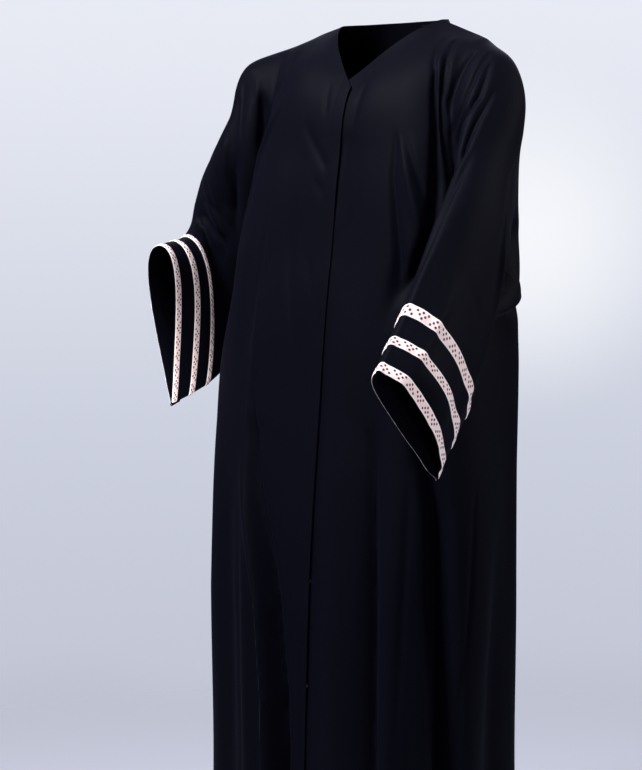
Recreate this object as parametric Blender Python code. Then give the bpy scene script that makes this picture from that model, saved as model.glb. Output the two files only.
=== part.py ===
"""Abaya: an open-fronted overgarment with wide bell sleeves, hollow, in the pose it is worn in.

Units are metres, +Z is up, the wearer faces -Y and the wearer's left is +X.  The origin is the
middle of the neck opening, level with the inner ends of the shoulder seams.

Each piece of cloth is a wall through sections.  A body panel is a stack of rows, each a curve
from the front or back middle to the armhole or side seam.  A sleeve is a run of rings from the
armhole to the cuff.  Folds are soft troughs and ridges pressed into those surfaces.
"""

import math

import bmesh
import bpy
import numpy as np

# Sign that turns each grid's own normal outwards
FACING = {
    "front_right": -1, "front_left": 1, "front_band": 1, "back": -1, "sleeve_right": 1, "sleeve_left": -1,
}

# Cloth and seams
CLOTH = 0.0012
RIBBON_CLOTH = 0.0010
BAND_CLOTH = 0.0018
SEAM_GAP = 0.0003

# Length and neck
LENGTH = 1.420
NECK_HALF_WIDTH = 0.090
NECK_DEPTH = 0.098
NECK_FRONT = 0.115
NECK_BACK = 0.072
NECK_BACK_RISE = 0.006

# Front opening: the wearer's right front lies over the left
OVERLAP_EDGE = 0.012
BAND_WIDTH = 0.019
UNDERLAP_EDGE = -0.016
UNDERLAP_DROP = 0.0052
UNDERLAP_REACH = 0.045

# Grid of the cloth
SHOULDER_ROWS = 3
ARMHOLE_ROWS = 12
BODY_ROWS = 30
BAND_TOP_STEPS = 3
HALF_COLUMNS = 16
NECK_SHARE = 9 / HALF_COLUMNS
SLEEVE_ANGLES = 2 * ARMHOLE_ROWS
SLEEVE_STEPS = 12

# Ribbons round each cuff
RIBBON_WIDTH = 0.0155
RIBBON_PITCH = 0.050
CUFF_ZONE = 0.116
RIBBONS = ("cuff", "middle", "upper")

# Press studs between the band and the left front
STUD_LEVELS = {"upper": -0.800, "lower": -0.950}
STUD_RADIUS = 0.004
STUD_THICKNESS = 0.0020
STUD_SIDES = 16
STUD_SHOWS = 0.001
STUD_GAP = 0.0006

# Half of the front, mirrored for the other side, a row for each section.  The row number counts
# grid rows down from the shoulder.  "centre" is the front middle; "chest" and "turn" pull the
# curve forward and round the side on its way to the armhole or the side seam.
FRONT_SECTIONS = (
    # row, centre_y, centre_z, chest_x, chest_y, turn_x, turn_y
    (0, 0.000, 0.000, 0.116, 0.000, 0.142, 0.000),
    (3, -0.115, -0.098, 0.070, -0.118, 0.130, -0.100),
    (6, -0.143, -0.210, 0.095, -0.148, 0.172, -0.134),
    (9, -0.158, -0.325, 0.135, -0.163, 0.232, -0.154),
    (12, -0.170, -0.400, 0.160, -0.175, 0.252, -0.156),
    (15, -0.184, -0.530, 0.186, -0.189, 0.272, -0.160),
    (20, -0.211, -0.810, 0.190, -0.214, 0.268, -0.160),
    (25, -0.224, -1.100, 0.188, -0.227, 0.250, -0.158),
    (30, -0.232, -LENGTH, 0.192, -0.236, 0.252, -0.162),
)

# How far the left front is pressed in beside the hanging left sleeve, at the same rows
LEFT_PRESS = (
    # row, inwards
    (0, 0.000), (3, 0.000), (6, 0.004), (9, 0.034), (12, 0.042), (15, 0.030),
    (20, 0.004), (25, 0.000), (30, 0.000),
)

# Half of the back, read the same way
BACK_SECTIONS = (
    # row, centre_y, centre_z, blade_x, blade_y, turn_x, turn_y
    (0, 0.078, 0.000, 0.050, 0.084, 0.135, 0.060),
    (3, 0.090, -0.060, 0.070, 0.092, 0.140, 0.078),
    (6, 0.100, -0.150, 0.090, 0.104, 0.165, 0.092),
    (9, 0.102, -0.270, 0.110, 0.106, 0.190, 0.085),
    (12, 0.094, -0.385, 0.130, 0.098, 0.200, 0.066),
    (15, 0.087, -0.530, 0.145, 0.094, 0.222, 0.058),
    (20, 0.082, -0.810, 0.150, 0.090, 0.230, 0.058),
    (25, 0.084, -1.100, 0.150, 0.092, 0.228, 0.057),
    (30, 0.090, -LENGTH, 0.156, 0.100, 0.242, 0.064),
)

# Side seam, from the underarm to the hem
SIDE_SEAM = (
    # row, x, y, z
    (12, 0.204, 0.000, -0.395),
    (15, 0.208, -0.008, -0.530),
    (20, 0.216, -0.016, -0.810),
    (25, 0.218, -0.020, -1.100),
    (30, 0.228, -0.022, -LENGTH),
)

# Sleeve rings.  "top" carries on from the shoulder line and "under" from the side seam; "front"
# and "back" lie between.  "tear" narrows a ring towards its underside, as a wide cuff hangs.
RIGHT_SLEEVE = (
    # station, top xyz, front xyz, under xyz, back xyz, tear
    (0, -0.170, 0.000, -0.026, -0.163, -0.080, -0.180, -0.204, 0.000, -0.395, -0.182, 0.062, -0.200, 0.0),
    (1, -0.235, -0.040, -0.056, -0.194, -0.102, -0.195, -0.226, -0.002, -0.402, -0.213, 0.046, -0.215, 0.0),
    (2, -0.268, -0.044, -0.116, -0.226, -0.108, -0.235, -0.244, -0.006, -0.422, -0.252, 0.038, -0.250, 0.1),
    (3, -0.318, -0.036, -0.190, -0.266, -0.096, -0.280, -0.256, -0.014, -0.454, -0.305, 0.038, -0.310, 0.2),
    (4, -0.354, -0.035, -0.268, -0.284, -0.078, -0.332, -0.266, -0.040, -0.494, -0.345, 0.018, -0.360, 0.3),
    (5, -0.300, -0.117, -0.312, -0.264, -0.098, -0.410, -0.272, -0.100, -0.538, -0.325, -0.085, -0.415, 0.5),
    (6, -0.283, -0.198, -0.328, -0.260, -0.187, -0.425, -0.275, -0.182, -0.569, -0.304, -0.192, -0.425, 0.6),
)
LEFT_SLEEVE = (
    (0, 0.168, 0.000, -0.031, 0.163, -0.080, -0.180, 0.204, 0.000, -0.395, 0.182, 0.062, -0.200, 0.0),
    (1, 0.212, -0.010, -0.062, 0.188, -0.096, -0.190, 0.222, -0.006, -0.401, 0.206, 0.036, -0.215, 0.0),
    (2, 0.236, -0.030, -0.118, 0.198, -0.120, -0.215, 0.231, -0.020, -0.408, 0.222, 0.006, -0.240, 0.0),
    (3, 0.240, -0.091, -0.180, 0.206, -0.146, -0.262, 0.236, -0.048, -0.421, 0.244, -0.046, -0.272, 0.0),
    (4, 0.238, -0.173, -0.254, 0.212, -0.170, -0.333, 0.240, -0.096, -0.444, 0.266, -0.112, -0.315, 0.1),
    (5, 0.232, -0.299, -0.394, 0.224, -0.229, -0.483, 0.243, -0.155, -0.548, 0.276, -0.222, -0.460, 0.2),
    (6, 0.244, -0.376, -0.474, 0.228, -0.291, -0.563, 0.239, -0.219, -0.638, 0.284, -0.291, -0.550, 0.25),
)

# Folds, each a straight line in a piece's own grid, from its start to its end.  "down" is a
# row number on a body panel and a station on a sleeve; "across" is the share of the panel's
# half width from the middle, or the angle round a sleeve in degrees.  A minus depth is a trough.
FOLDS = (
    # piece, start down, start across, end down, end across, half width, depth
    ("front_right", 14.0, 0.210, 21.2, 0.068, 0.018, -0.014),
    ("front_right", 21.8, 0.063, 31.0, 0.045, 0.020, -0.014),
    ("front_right", 5.5, 0.320, 15.7, 0.208, 0.020, 0.006),
    ("front_right", 16.4, 0.203, 31.0, 0.145, 0.024, 0.012),
    ("front_right", 17.0, 0.345, 31.0, 0.285, 0.024, -0.010),
    ("front_right", 16.0, 0.500, 31.0, 0.460, 0.030, 0.007),
    ("front_right", 17.0, 0.700, 31.0, 0.660, 0.026, -0.014),
    ("front_right", 14.0, 0.900, 31.0, 0.870, 0.028, 0.006),
    ("front_left", 14.0, 0.130, 31.0, 0.150, 0.028, 0.009),
    ("front_left", 15.0, 0.230, 31.0, 0.285, 0.015, -0.010),
    ("front_left", 14.0, 0.330, 31.0, 0.345, 0.022, 0.008),
    ("front_left", 13.0, 0.370, 31.0, 0.640, 0.020, -0.020),
    ("front_left", 15.0, 0.470, 31.0, 0.800, 0.022, 0.012),
    ("front_left", 18.0, 0.930, 31.0, 0.900, 0.024, -0.012),
    ("front_left", 4.5, 0.830, 9.7, 0.470, 0.020, -0.012),
    ("front_left", 5.4, 0.570, 9.5, 0.490, 0.016, 0.005),
    ("back_right", 8.0, 0.180, 31.0, 0.140, 0.022, -0.013),
    ("back_right", 11.0, 0.360, 31.0, 0.330, 0.028, 0.009),
    ("back_right", 9.0, 0.560, 31.0, 0.530, 0.024, -0.015),
    ("back_right", 13.0, 0.800, 31.0, 0.760, 0.028, 0.010),
    ("back_left", 10.0, 0.060, 31.0, 0.080, 0.026, 0.009),
    ("back_left", 8.5, 0.270, 31.0, 0.250, 0.022, -0.015),
    ("back_left", 12.0, 0.480, 31.0, 0.450, 0.028, 0.010),
    ("back_left", 11.0, 0.640, 31.0, 0.610, 0.022, -0.011),
    ("sleeve_left", 0.8, 20, 3.2, 78, 0.015, -0.008),
    ("sleeve_left", 1.6, 250, 3.6, 228, 0.022, -0.012),
    ("sleeve_left", 3.4, 262, 5.4, 232, 0.016, 0.005),
    ("sleeve_right", 0.7, 35, 2.2, 100, 0.018, -0.010),
    ("sleeve_right", 3.9, 40, 3.2, 110, 0.016, -0.004),
    ("sleeve_right", 4.6, 60, 4.0, 125, 0.015, -0.003),
    ("sleeve_right", 1.4, 240, 3.0, 215, 0.022, -0.010),
)


def along_table(table, stations):
    """Read a table between its rows with a smooth curve through every row (Catmull-Rom)."""
    rows = np.asarray(table, dtype=float)
    knots = rows[:, 0]
    values = rows[:, 1:]
    slopes = np.empty_like(values)
    slopes[1:-1] = (values[2:] - values[:-2]) / (knots[2:] - knots[:-2])[:, None]
    slopes[0] = (values[1] - values[0]) / (knots[1] - knots[0])
    slopes[-1] = (values[-1] - values[-2]) / (knots[-1] - knots[-2])
    stations = np.atleast_1d(np.asarray(stations, dtype=float))
    left = np.clip(np.searchsorted(knots, stations, side="right") - 1, 0, len(knots) - 2)
    width = knots[left + 1] - knots[left]
    t = ((stations - knots[left]) / width)[:, None]
    width = width[:, None]
    start, end = values[left], values[left + 1]
    start_slope, end_slope = slopes[left] * width, slopes[left + 1] * width
    return (
        start * (2 * t**3 - 3 * t**2 + 1)
        + start_slope * (t**3 - 2 * t**2 + t)
        + end * (3 * t**2 - 2 * t**3)
        + end_slope * (t**3 - t**2)
    )


def sleeve_points(table, stations, angles):
    """Rings through top, front, under and back points.

    Point = middle + cos(angle) * half height + (sin(angle) + tear * sin(2 angle) / 2) * half width
    + cos(2 angle) * skew, where the skew makes the ring pass through all four points.
    """
    read = along_table(table, stations)
    top, front, under, back = (read[:, 3 * k:3 * k + 3][:, None, :] for k in range(4))
    tear = read[:, 12][:, None, None]
    angle = np.asarray(angles)[None, :, None]
    middle = (top + front + under + back) / 4
    skew = (top + under - front - back) / 4
    width = np.sin(angle) + tear * np.sin(2 * angle) / 2
    return middle + np.cos(angle) * (top - under) / 2 + width * (front - back) / 2 + np.cos(2 * angle) * skew


def front_profile(z):
    """Front middle seen from the side: it comes forward down the V, then follows the table."""
    rows = np.arange(SHOULDER_ROWS, BODY_ROWS + 1, 0.25)
    centre = along_table(FRONT_SECTIONS, rows)
    on_neck = -NECK_FRONT * np.clip(-z / NECK_DEPTH, 0, 1) ** 0.65
    return np.where(z > -NECK_DEPTH, on_neck, np.interp(-z, -centre[:, 1], centre[:, 0]))


def front_neck_drop(x):
    """Height of the front neck edge at a distance x out from the middle: a straight V."""
    return -NECK_DEPTH * (NECK_HALF_WIDTH - x) / (NECK_HALF_WIDTH + OVERLAP_EDGE)


def back_top(across):
    """Top edge of half the back: a quarter oval round the neck, then the straight shoulder seam."""
    turn = (1 - np.clip(across / NECK_SHARE, 0, 1)) * math.pi / 2
    seam = np.clip((across - NECK_SHARE) / (1 - NECK_SHARE), 0, 1)
    neck = np.stack([
        NECK_HALF_WIDTH * np.cos(turn),
        NECK_BACK * np.sin(turn),
        NECK_BACK_RISE * np.sin(turn),
    ], axis=-1)
    return neck, seam[..., None]


def smooth_step(t):
    """Ease from 0 to 1 with level ends."""
    t = np.clip(t, 0, 1)
    return t * t * (3 - 2 * t)


def front_inner_edge(rows, x):
    """Inner edge of a front: down the V to its own x in the first rows, then straight down."""
    share = np.clip(rows / SHOULDER_ROWS, 0, 1)
    edge_x = NECK_HALF_WIDTH + (x - NECK_HALF_WIDTH) * share
    centre_z = along_table(FRONT_SECTIONS, rows)[:, 1]
    fade = 1 - smooth_step((rows - SHOULDER_ROWS) / SHOULDER_ROWS)
    below = centre_z + (front_neck_drop(x) + NECK_DEPTH) * fade
    z = np.where(rows < SHOULDER_ROWS, front_neck_drop(edge_x), below)
    return np.stack([edge_x, front_profile(z), z], axis=-1)


def outer_edge(rows, sleeve, half_turn):
    """Outer edge of a panel: down the armhole ring, then down the side seam, as outward x."""
    angles = half_turn * math.pi * np.clip(rows / ARMHOLE_ROWS, 0, 1)
    ring = sleeve_points(sleeve, 0, angles)[0]
    ring[:, 0] = np.abs(ring[:, 0])
    seam = along_table(SIDE_SEAM, np.clip(rows, ARMHOLE_ROWS, BODY_ROWS))
    return np.where((rows < ARMHOLE_ROWS)[:, None], ring, seam)


def panel_points(pull, inner, outer, rows, across):
    """Rows as cubic curves: inner edge, two pulling points from the table, outer edge."""
    drop = outer[:, 2] - inner[:, 2]
    near_shoulder = np.clip(1 - rows / SHOULDER_ROWS, 0, 1)
    first = np.stack([pull[:, 0], pull[:, 1], inner[:, 2] + drop * near_shoulder / 3], axis=-1)
    second = np.stack([pull[:, 2], pull[:, 3], inner[:, 2] + drop * 2 / 3], axis=-1)
    u = across[None, :, None]
    return (
        inner[:, None] * (1 - u) ** 3
        + first[:, None] * 3 * u * (1 - u) ** 2
        + second[:, None] * 3 * u**2 * (1 - u)
        + outer[:, None] * u**3
    )


def front_points(side, rows, across):
    """A front panel; the left one starts past the middle and lies lower, under the right."""
    sleeve = LEFT_SLEEVE if side == "left" else RIGHT_SLEEVE
    start = UNDERLAP_EDGE if side == "left" else BAND_WIDTH - OVERLAP_EDGE
    inner = front_inner_edge(rows, start)
    pull = along_table(FRONT_SECTIONS, rows)[:, 2:]
    if side == "left":
        pull[:, 2] -= along_table(LEFT_PRESS, rows)[:, 0]
    points = panel_points(pull, inner, outer_edge(rows, sleeve, 1), rows, across)
    if side == "left":
        under = 1 - smooth_step((points[..., 0] - OVERLAP_EDGE) / UNDERLAP_REACH)
        points[..., 1] += UNDERLAP_DROP * under
        return points
    return points * (-1, 1, 1)


def half_back(rows, across, sleeve):
    """Half the back: its top rows ease from the neck and shoulder line into the sections."""
    def section(at):
        table = along_table(BACK_SECTIONS, at)
        inner = np.stack([np.zeros_like(at), table[:, 0], table[:, 1]], axis=-1)
        return panel_points(table[:, 2:], inner, outer_edge(at, sleeve, -1), at, across)

    neck, seam = back_top(across)
    tip = outer_edge(np.zeros(1), sleeve, -1)[0]
    top = neck + (tip - neck) * seam
    first = section(np.array([float(SHOULDER_ROWS)]))[0]
    share = np.clip(rows / SHOULDER_ROWS, 0, 1)[:, None, None]
    eased = top + (first - top) * share
    edge = outer_edge(rows, sleeve, -1)[:, None]
    eased = eased + (edge - eased[:, -1:]) * (across**2)[None, :, None]
    return np.where(share < 1, eased, section(rows))


def back_points(rows, across):
    """The back, from the right edge to the left: both halves meet at the back middle."""
    right = half_back(rows, across, RIGHT_SLEEVE) * (-1, 1, 1)
    left = half_back(rows, across, LEFT_SLEEVE)
    return np.concatenate([right[:, ::-1], left[:, 1:]], axis=1)


def band_points(rows, across):
    """The front band, from the right front's edge to the overlap edge."""
    inner_x = BAND_WIDTH - OVERLAP_EDGE - SEAM_GAP
    columns = [front_inner_edge(rows, x) for x in inner_x - across * BAND_WIDTH]
    return np.stack(columns, axis=1) * (-1, 1, 1)


def grid_normals(points, closed=False):
    """Unit normals of a grid: the cross product of its two directions at each point."""
    down = np.gradient(points, axis=0)
    if closed:
        around = np.roll(points, -1, axis=1) - np.roll(points, 1, axis=1)
    else:
        around = np.gradient(points, axis=1)
    normal = np.cross(down, around)
    return normal / np.maximum(np.linalg.norm(normal, axis=2, keepdims=True), 1e-9)


def fold_line(piece, down_0, across_0, down_1, across_1):
    """Points of a fold's line on its piece, undented."""
    share = np.linspace(0, 1, 9)
    down = down_0 + (down_1 - down_0) * share
    across = across_0 + (across_1 - across_0) * share
    steps = np.arange(len(share))
    if piece.startswith("sleeve"):
        table = LEFT_SLEEVE if piece.endswith("left") else RIGHT_SLEEVE
        return sleeve_points(table, down, np.radians(across))[steps, steps]
    if piece.startswith("front"):
        return front_points(piece.split("_")[1], down, across)[steps, steps]
    half = len(share) - 1
    points = back_points(down, across)
    if piece.endswith("left"):
        return points[steps, half + steps]
    return points[steps, half - steps]


def fold_depth(points):
    """Sum of the folds at each point: depth * exp(-(distance to the line / half width)^2)."""
    total = np.zeros(points.shape[:-1])
    for piece, down_0, across_0, down_1, across_1, half_width, depth in FOLDS:
        line = fold_line(piece, down_0, across_0, down_1, across_1)
        nearest = np.full(points.shape[:-1], np.inf)
        for start, end in zip(line[:-1], line[1:]):
            step = end - start
            t = np.clip((points - start) @ step / (step @ step), 0, 1)
            away = points - start - t[..., None] * step
            nearest = np.minimum(nearest, np.sum(away * away, axis=-1))
        total += depth * np.exp(-nearest / half_width**2)
    return total


def band_rows():
    """Rows of the front band: the body's rows, closer together below the point of the V."""
    top = SHOULDER_ROWS + np.arange(BAND_TOP_STEPS) / BAND_TOP_STEPS
    return np.concatenate([top, np.arange(SHOULDER_ROWS + 1, BODY_ROWS + 1)])


def sleeve_stations():
    """Rows of a sleeve: even steps down to the cuff zone, then the two edges of each ribbon."""
    last = len(RIGHT_SLEEVE) - 1
    edges = []
    for number in reversed(range(len(RIBBONS))):
        edges += [number * RIBBON_PITCH + RIBBON_WIDTH, number * RIBBON_PITCH]
    cuff = last - np.array(edges) / CUFF_ZONE
    return np.concatenate([np.linspace(0, cuff[0], SLEEVE_STEPS + 1), cuff[1:]])


def share_seams(normals):
    """Give pieces that meet at a seam one direction there, the mean of their own."""
    back, band = normals["back"], normals["front_band"]
    groups = []
    seam_start = round(NECK_SHARE * HALF_COLUMNS)
    for side, edge, sign in (("right", 0, -1), ("left", -1, 1)):
        front, sleeve = normals["front_" + side], normals["sleeve_" + side]
        shoulder = [(front, 0, column) for column in range(HALF_COLUMNS + 1)]
        shoulder += [(back, 0, HALF_COLUMNS + sign * k) for k in range(seam_start, HALF_COLUMNS + 1)]
        groups.append(shoulder + [(sleeve, 0, 0)])
        for row in range(1, BODY_ROWS + 1):
            if row < ARMHOLE_ROWS:
                groups.append([(front, row, -1), (sleeve, 0, row)])
                groups.append([(back, row, edge), (sleeve, 0, SLEEVE_ANGLES - row)])
            elif row == ARMHOLE_ROWS:
                groups.append([(front, row, -1), (back, row, edge), (sleeve, 0, row)])
            else:
                groups.append([(front, row, -1), (back, row, edge)])
    groups.append([(normals["front_right"], SHOULDER_ROWS, 0), (band, 0, 0)])
    for row in range(SHOULDER_ROWS + 1, BODY_ROWS + 1):
        groups.append([(normals["front_right"], row, 0), (band, row - BODY_ROWS - 1, 0)])
    for group in groups:
        mean = sum(grid[row, column] for grid, row, column in group)
        mean = mean / np.linalg.norm(mean)
        for grid, row, column in group:
            grid[row, column] = mean


def outward_normals(cloth):
    """Normals of every sheet, facing out, shared at the seams."""
    normals = {}
    for name, points in cloth.items():
        normal = grid_normals(points, closed=name.startswith("sleeve"))
        normals[name] = normal * FACING[name]
    share_seams(normals)
    return normals


def seam_step(edge, inner):
    """Half a seam gap at each point of an edge, square to the edge, towards the inner row."""
    along = np.gradient(edge, axis=0)
    along = along / np.linalg.norm(along, axis=1, keepdims=True)
    step = inner - edge
    step = step - np.sum(step * along, axis=1, keepdims=True) * along
    return SEAM_GAP / 2 * step / np.linalg.norm(step, axis=1, keepdims=True)


def pull_from_seams(points, columns=()):
    """Move the top row and the named edge columns half a seam gap into the piece."""
    moved = points.copy()
    moved[0] += seam_step(points[0], points[1])
    for column, inner in columns:
        moved[:, column] += seam_step(points[:, column], points[:, inner])
    return moved


def wall(outer, inner, closed):
    """Vertices and faces of a wall between two grids; a closed one runs round in its columns."""
    rows, columns = outer.shape[:2]
    vertices = np.concatenate([outer.reshape(-1, 3), inner.reshape(-1, 3)])
    index = np.arange(rows * columns).reshape(rows, columns)
    if closed:
        index = np.concatenate([index, index[:, :1]], axis=1)
    below = index + rows * columns
    sides = [
        (index[:-1, :-1], index[1:, :-1], index[1:, 1:], index[:-1, 1:]),
        (below[:-1, :-1], below[:-1, 1:], below[1:, 1:], below[1:, :-1]),
        (index[0, :-1], index[0, 1:], below[0, 1:], below[0, :-1]),
        (index[-1, 1:], index[-1, :-1], below[-1, :-1], below[-1, 1:]),
    ]
    if not closed:
        sides.append((index[1:, 0], index[:-1, 0], below[:-1, 0], below[1:, 0]))
        sides.append((index[:-1, -1], index[1:, -1], below[1:, -1], below[:-1, -1]))
    faces = [np.stack([corner.ravel() for corner in side], axis=1) for side in sides]
    return vertices, np.concatenate(faces)


def cloth_material(name, colour, roughness):
    """A matte cloth finish."""
    material = bpy.data.materials.new(name)
    material.use_nodes = True
    shader = material.node_tree.nodes["Principled BSDF"]
    shader.inputs["Base Color"].default_value = (*colour, 1)
    shader.inputs["Roughness"].default_value = roughness
    return material


def add_piece(name, vertices, faces, material, sharp_angle=math.radians(50)):
    """Make an object from vertices and faces, facing out and shaded smooth."""
    mesh = bpy.data.meshes.new(name)
    mesh.from_pydata(vertices.tolist(), [], faces.tolist())
    shape = bmesh.new()
    shape.from_mesh(mesh)
    bmesh.ops.recalc_face_normals(shape, faces=shape.faces)
    shape.to_mesh(mesh)
    shape.free()
    mesh.shade_smooth()
    mesh.set_sharp_from_angle(angle=sharp_angle)
    mesh.materials.append(material)
    piece = bpy.data.objects.new(name, mesh)
    bpy.context.scene.collection.objects.link(piece)
    return piece


def make_cloth():
    """All the sheets with their folds, and their normals."""
    rows = np.arange(BODY_ROWS + 1, dtype=float)
    across = np.linspace(0, 1, HALF_COLUMNS + 1)
    angles = 2 * math.pi * np.arange(SLEEVE_ANGLES) / SLEEVE_ANGLES
    cloth = {
        "front_right": front_points("right", rows, across),
        "front_left": front_points("left", rows, across),
        "front_band": band_points(band_rows(), np.linspace(0, 1, 3)),
        "back": back_points(rows, across),
        "sleeve_right": sleeve_points(RIGHT_SLEEVE, sleeve_stations(), angles),
        "sleeve_left": sleeve_points(LEFT_SLEEVE, sleeve_stations(), angles),
    }
    normals = outward_normals(cloth)
    for name, points in cloth.items():
        cloth[name] = points + normals[name] * fold_depth(points)[..., None]
    return cloth, outward_normals(cloth)


def make_panels(cloth, normals, material):
    """The two fronts and the back."""
    edges = {
        "front_right": ((-1, -2),),
        "front_left": ((-1, -2),),
        "back": ((0, 1), (-1, -2)),
    }
    for name, columns in edges.items():
        outer = pull_from_seams(cloth[name], columns)
        vertices, faces = wall(outer, outer - normals[name] * CLOTH, closed=False)
        add_piece(name, vertices, faces, material)


def make_sleeves(cloth, normals, material, ribbon_material):
    """Both sleeves, each with three ribbons that follow its own points, moved out."""
    for side in ("right", "left"):
        name = "sleeve_" + side
        outer = pull_from_seams(cloth[name])
        vertices, faces = wall(outer, outer - normals[name] * CLOTH, closed=True)
        add_piece(name, vertices, faces, material)
        for number, ribbon in enumerate(RIBBONS):
            last = len(outer) - 2 * number
            strip, out = outer[last - 2:last], normals[name][last - 2:last]
            top = strip + out * (SEAM_GAP + RIBBON_CLOTH)
            vertices, faces = wall(top, strip + out * SEAM_GAP, closed=True)
            add_piece(f"ribbon_{side}_{ribbon}", vertices, faces, ribbon_material)


def make_band(cloth, normals, material):
    """The doubled strip along the right front's edge, thicker both ways than one cloth."""
    middle, out = cloth["front_band"], normals["front_band"]
    rise = (BAND_CLOTH - CLOTH) / 2
    outer, inner = middle + out * rise, middle - out * (BAND_CLOTH - rise)
    vertices, faces = wall(outer, inner, closed=False)
    add_piece("front_band", vertices, faces, material)


def make_studs(band, material):
    """Press studs: small discs between the band and the left front, just past the band's edge."""
    edge = band[:, -1]
    behind = (BAND_CLOTH + CLOTH) / 2 + STUD_GAP + STUD_THICKNESS / 2
    for name, level in STUD_LEVELS.items():
        below = int(np.argmax(edge[:, 2] < level))
        step = edge[below] - edge[below - 1]
        share = (level - edge[below - 1, 2]) / step[2]
        y = edge[below - 1, 1] + share * step[1]
        shape = bmesh.new()
        bmesh.ops.create_cone(
            shape, cap_ends=True, segments=STUD_SIDES,
            radius1=STUD_RADIUS, radius2=STUD_RADIUS, depth=STUD_THICKNESS,
        )
        mesh = bpy.data.meshes.new("stud_" + name)
        shape.to_mesh(mesh)
        shape.free()
        mesh.shade_smooth()
        mesh.set_sharp_from_angle(angle=math.radians(40))
        mesh.materials.append(material)
        stud = bpy.data.objects.new("stud_" + name, mesh)
        stud.location = (OVERLAP_EDGE - STUD_RADIUS + STUD_SHOWS, y + behind, level)
        stud.rotation_euler = (math.pi / 2 + math.atan2(step[1], -step[2]), 0, 0)
        bpy.context.scene.collection.objects.link(stud)


def main():
    for item in list(bpy.data.objects):
        bpy.data.objects.remove(item)
    crepe = cloth_material("black crepe", (0.009, 0.009, 0.014), 0.85)
    ribbon = cloth_material("woven ribbon", (0.78, 0.66, 0.63), 0.7)
    metal = bpy.data.materials.new("nickel press stud")
    metal.use_nodes = True
    shader = metal.node_tree.nodes["Principled BSDF"]
    shader.inputs["Base Color"].default_value = (0.62, 0.61, 0.58, 1)
    shader.inputs["Metallic"].default_value = 1
    shader.inputs["Roughness"].default_value = 0.35
    cloth, normals = make_cloth()
    make_panels(cloth, normals, crepe)
    make_sleeves(cloth, normals, crepe, ribbon)
    make_band(cloth, normals, crepe)
    make_studs(cloth["front_band"], metal)
    bpy.context.view_layer.update()


main()
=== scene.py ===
"""A long black crepe abaya with ribboned bell sleeves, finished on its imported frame.

Units are metres in the frame's own axes: +Z up, the front faces -Y, the garment's left is +X.
Every sheet is the same surface as its solid, worked out on a closer grid, with the finer
creases, the turned edges, the stitching and the woven ribbon that the solids leave out.
"""

import math

import bpy
import mathutils
import numpy as np
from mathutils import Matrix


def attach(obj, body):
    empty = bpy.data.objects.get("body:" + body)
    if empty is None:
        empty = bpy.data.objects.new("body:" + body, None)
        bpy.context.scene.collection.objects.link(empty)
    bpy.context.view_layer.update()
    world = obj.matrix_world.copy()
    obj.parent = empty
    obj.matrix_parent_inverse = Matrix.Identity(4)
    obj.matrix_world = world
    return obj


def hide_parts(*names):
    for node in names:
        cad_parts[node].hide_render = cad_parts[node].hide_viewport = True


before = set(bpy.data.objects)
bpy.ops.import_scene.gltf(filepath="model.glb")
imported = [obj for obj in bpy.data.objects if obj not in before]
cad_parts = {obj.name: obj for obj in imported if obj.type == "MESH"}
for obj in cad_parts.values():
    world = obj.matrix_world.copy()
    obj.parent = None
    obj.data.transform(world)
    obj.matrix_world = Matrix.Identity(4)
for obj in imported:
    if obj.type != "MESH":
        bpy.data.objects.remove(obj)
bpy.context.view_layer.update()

# Cloth and seams; a turned edge is thicker to its stitching, over a short step
CLOTH = 0.0012
RIBBON_CLOTH = 0.0010
BAND_CLOTH = 0.0018
SEAM_GAP = 0.0003
TURNED_CLOTH = 0.0020
HEM_DEPTH = 0.020
TURNED_STEP = 0.0015

# Length and neck
LENGTH = 1.420
NECK_HALF_WIDTH = 0.090
NECK_DEPTH = 0.098
NECK_FRONT = 0.115
NECK_BACK = 0.072
NECK_BACK_RISE = 0.006
NECK_CURVE = 0.65

# Front opening: the right front lies over the left
OVERLAP_EDGE = 0.012
BAND_WIDTH = 0.019
UNDERLAP_EDGE = -0.016
UNDERLAP_DROP = 0.0052
UNDERLAP_REACH = 0.045

# Rows of the cloth down the body, and stations down a sleeve
SHOULDER_ROWS = 3
ARMHOLE_ROWS = 12
BODY_ROWS = 30
SLEEVE_STATIONS = 6

# Share of half the back's top edge that lies round the neck
NECK_SHARE = 9 / 16

# Ribbons round each cuff
RIBBON_WIDTH = 0.0155
RIBBON_PITCH = 0.050
CUFF_ZONE = 0.116
RIBBONS = ("cuff", "middle", "upper")

# How far the front's gap stands open, as a share of the left front's drop under the band
GAP_SHARE = (
    # row, share
    (0, 1), (3.0, 1), (3.7, 0.7), (4.7, 0.65), (5.2, 1), (7.2, 0.95), (8.0, 0.64), (14.5, 0.64),
    (15.5, 0.85), (18.8, 0.85), (19.4, 0.88), (22.6, 0.88), (23.4, 0.62), (31, 0.62),
)

# Half of the front, mirrored for the other side, a row for each section.  The row number counts
# grid rows down from the shoulder.  "centre" is the front middle; "chest" and "turn" pull the
# curve forward and round the side on its way to the armhole or the side seam.
FRONT_SECTIONS = (
    # row, centre_y, centre_z, chest_x, chest_y, turn_x, turn_y
    (0, 0.000, 0.000, 0.116, 0.000, 0.142, 0.000),
    (3, -0.115, -0.098, 0.070, -0.118, 0.130, -0.100),
    (6, -0.143, -0.210, 0.095, -0.148, 0.172, -0.134),
    (9, -0.158, -0.325, 0.135, -0.163, 0.232, -0.154),
    (12, -0.170, -0.400, 0.160, -0.175, 0.252, -0.156),
    (15, -0.184, -0.530, 0.186, -0.189, 0.272, -0.160),
    (20, -0.211, -0.810, 0.190, -0.214, 0.268, -0.160),
    (25, -0.224, -1.100, 0.188, -0.227, 0.250, -0.158),
    (30, -0.232, -LENGTH, 0.192, -0.236, 0.252, -0.162),
)

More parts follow.
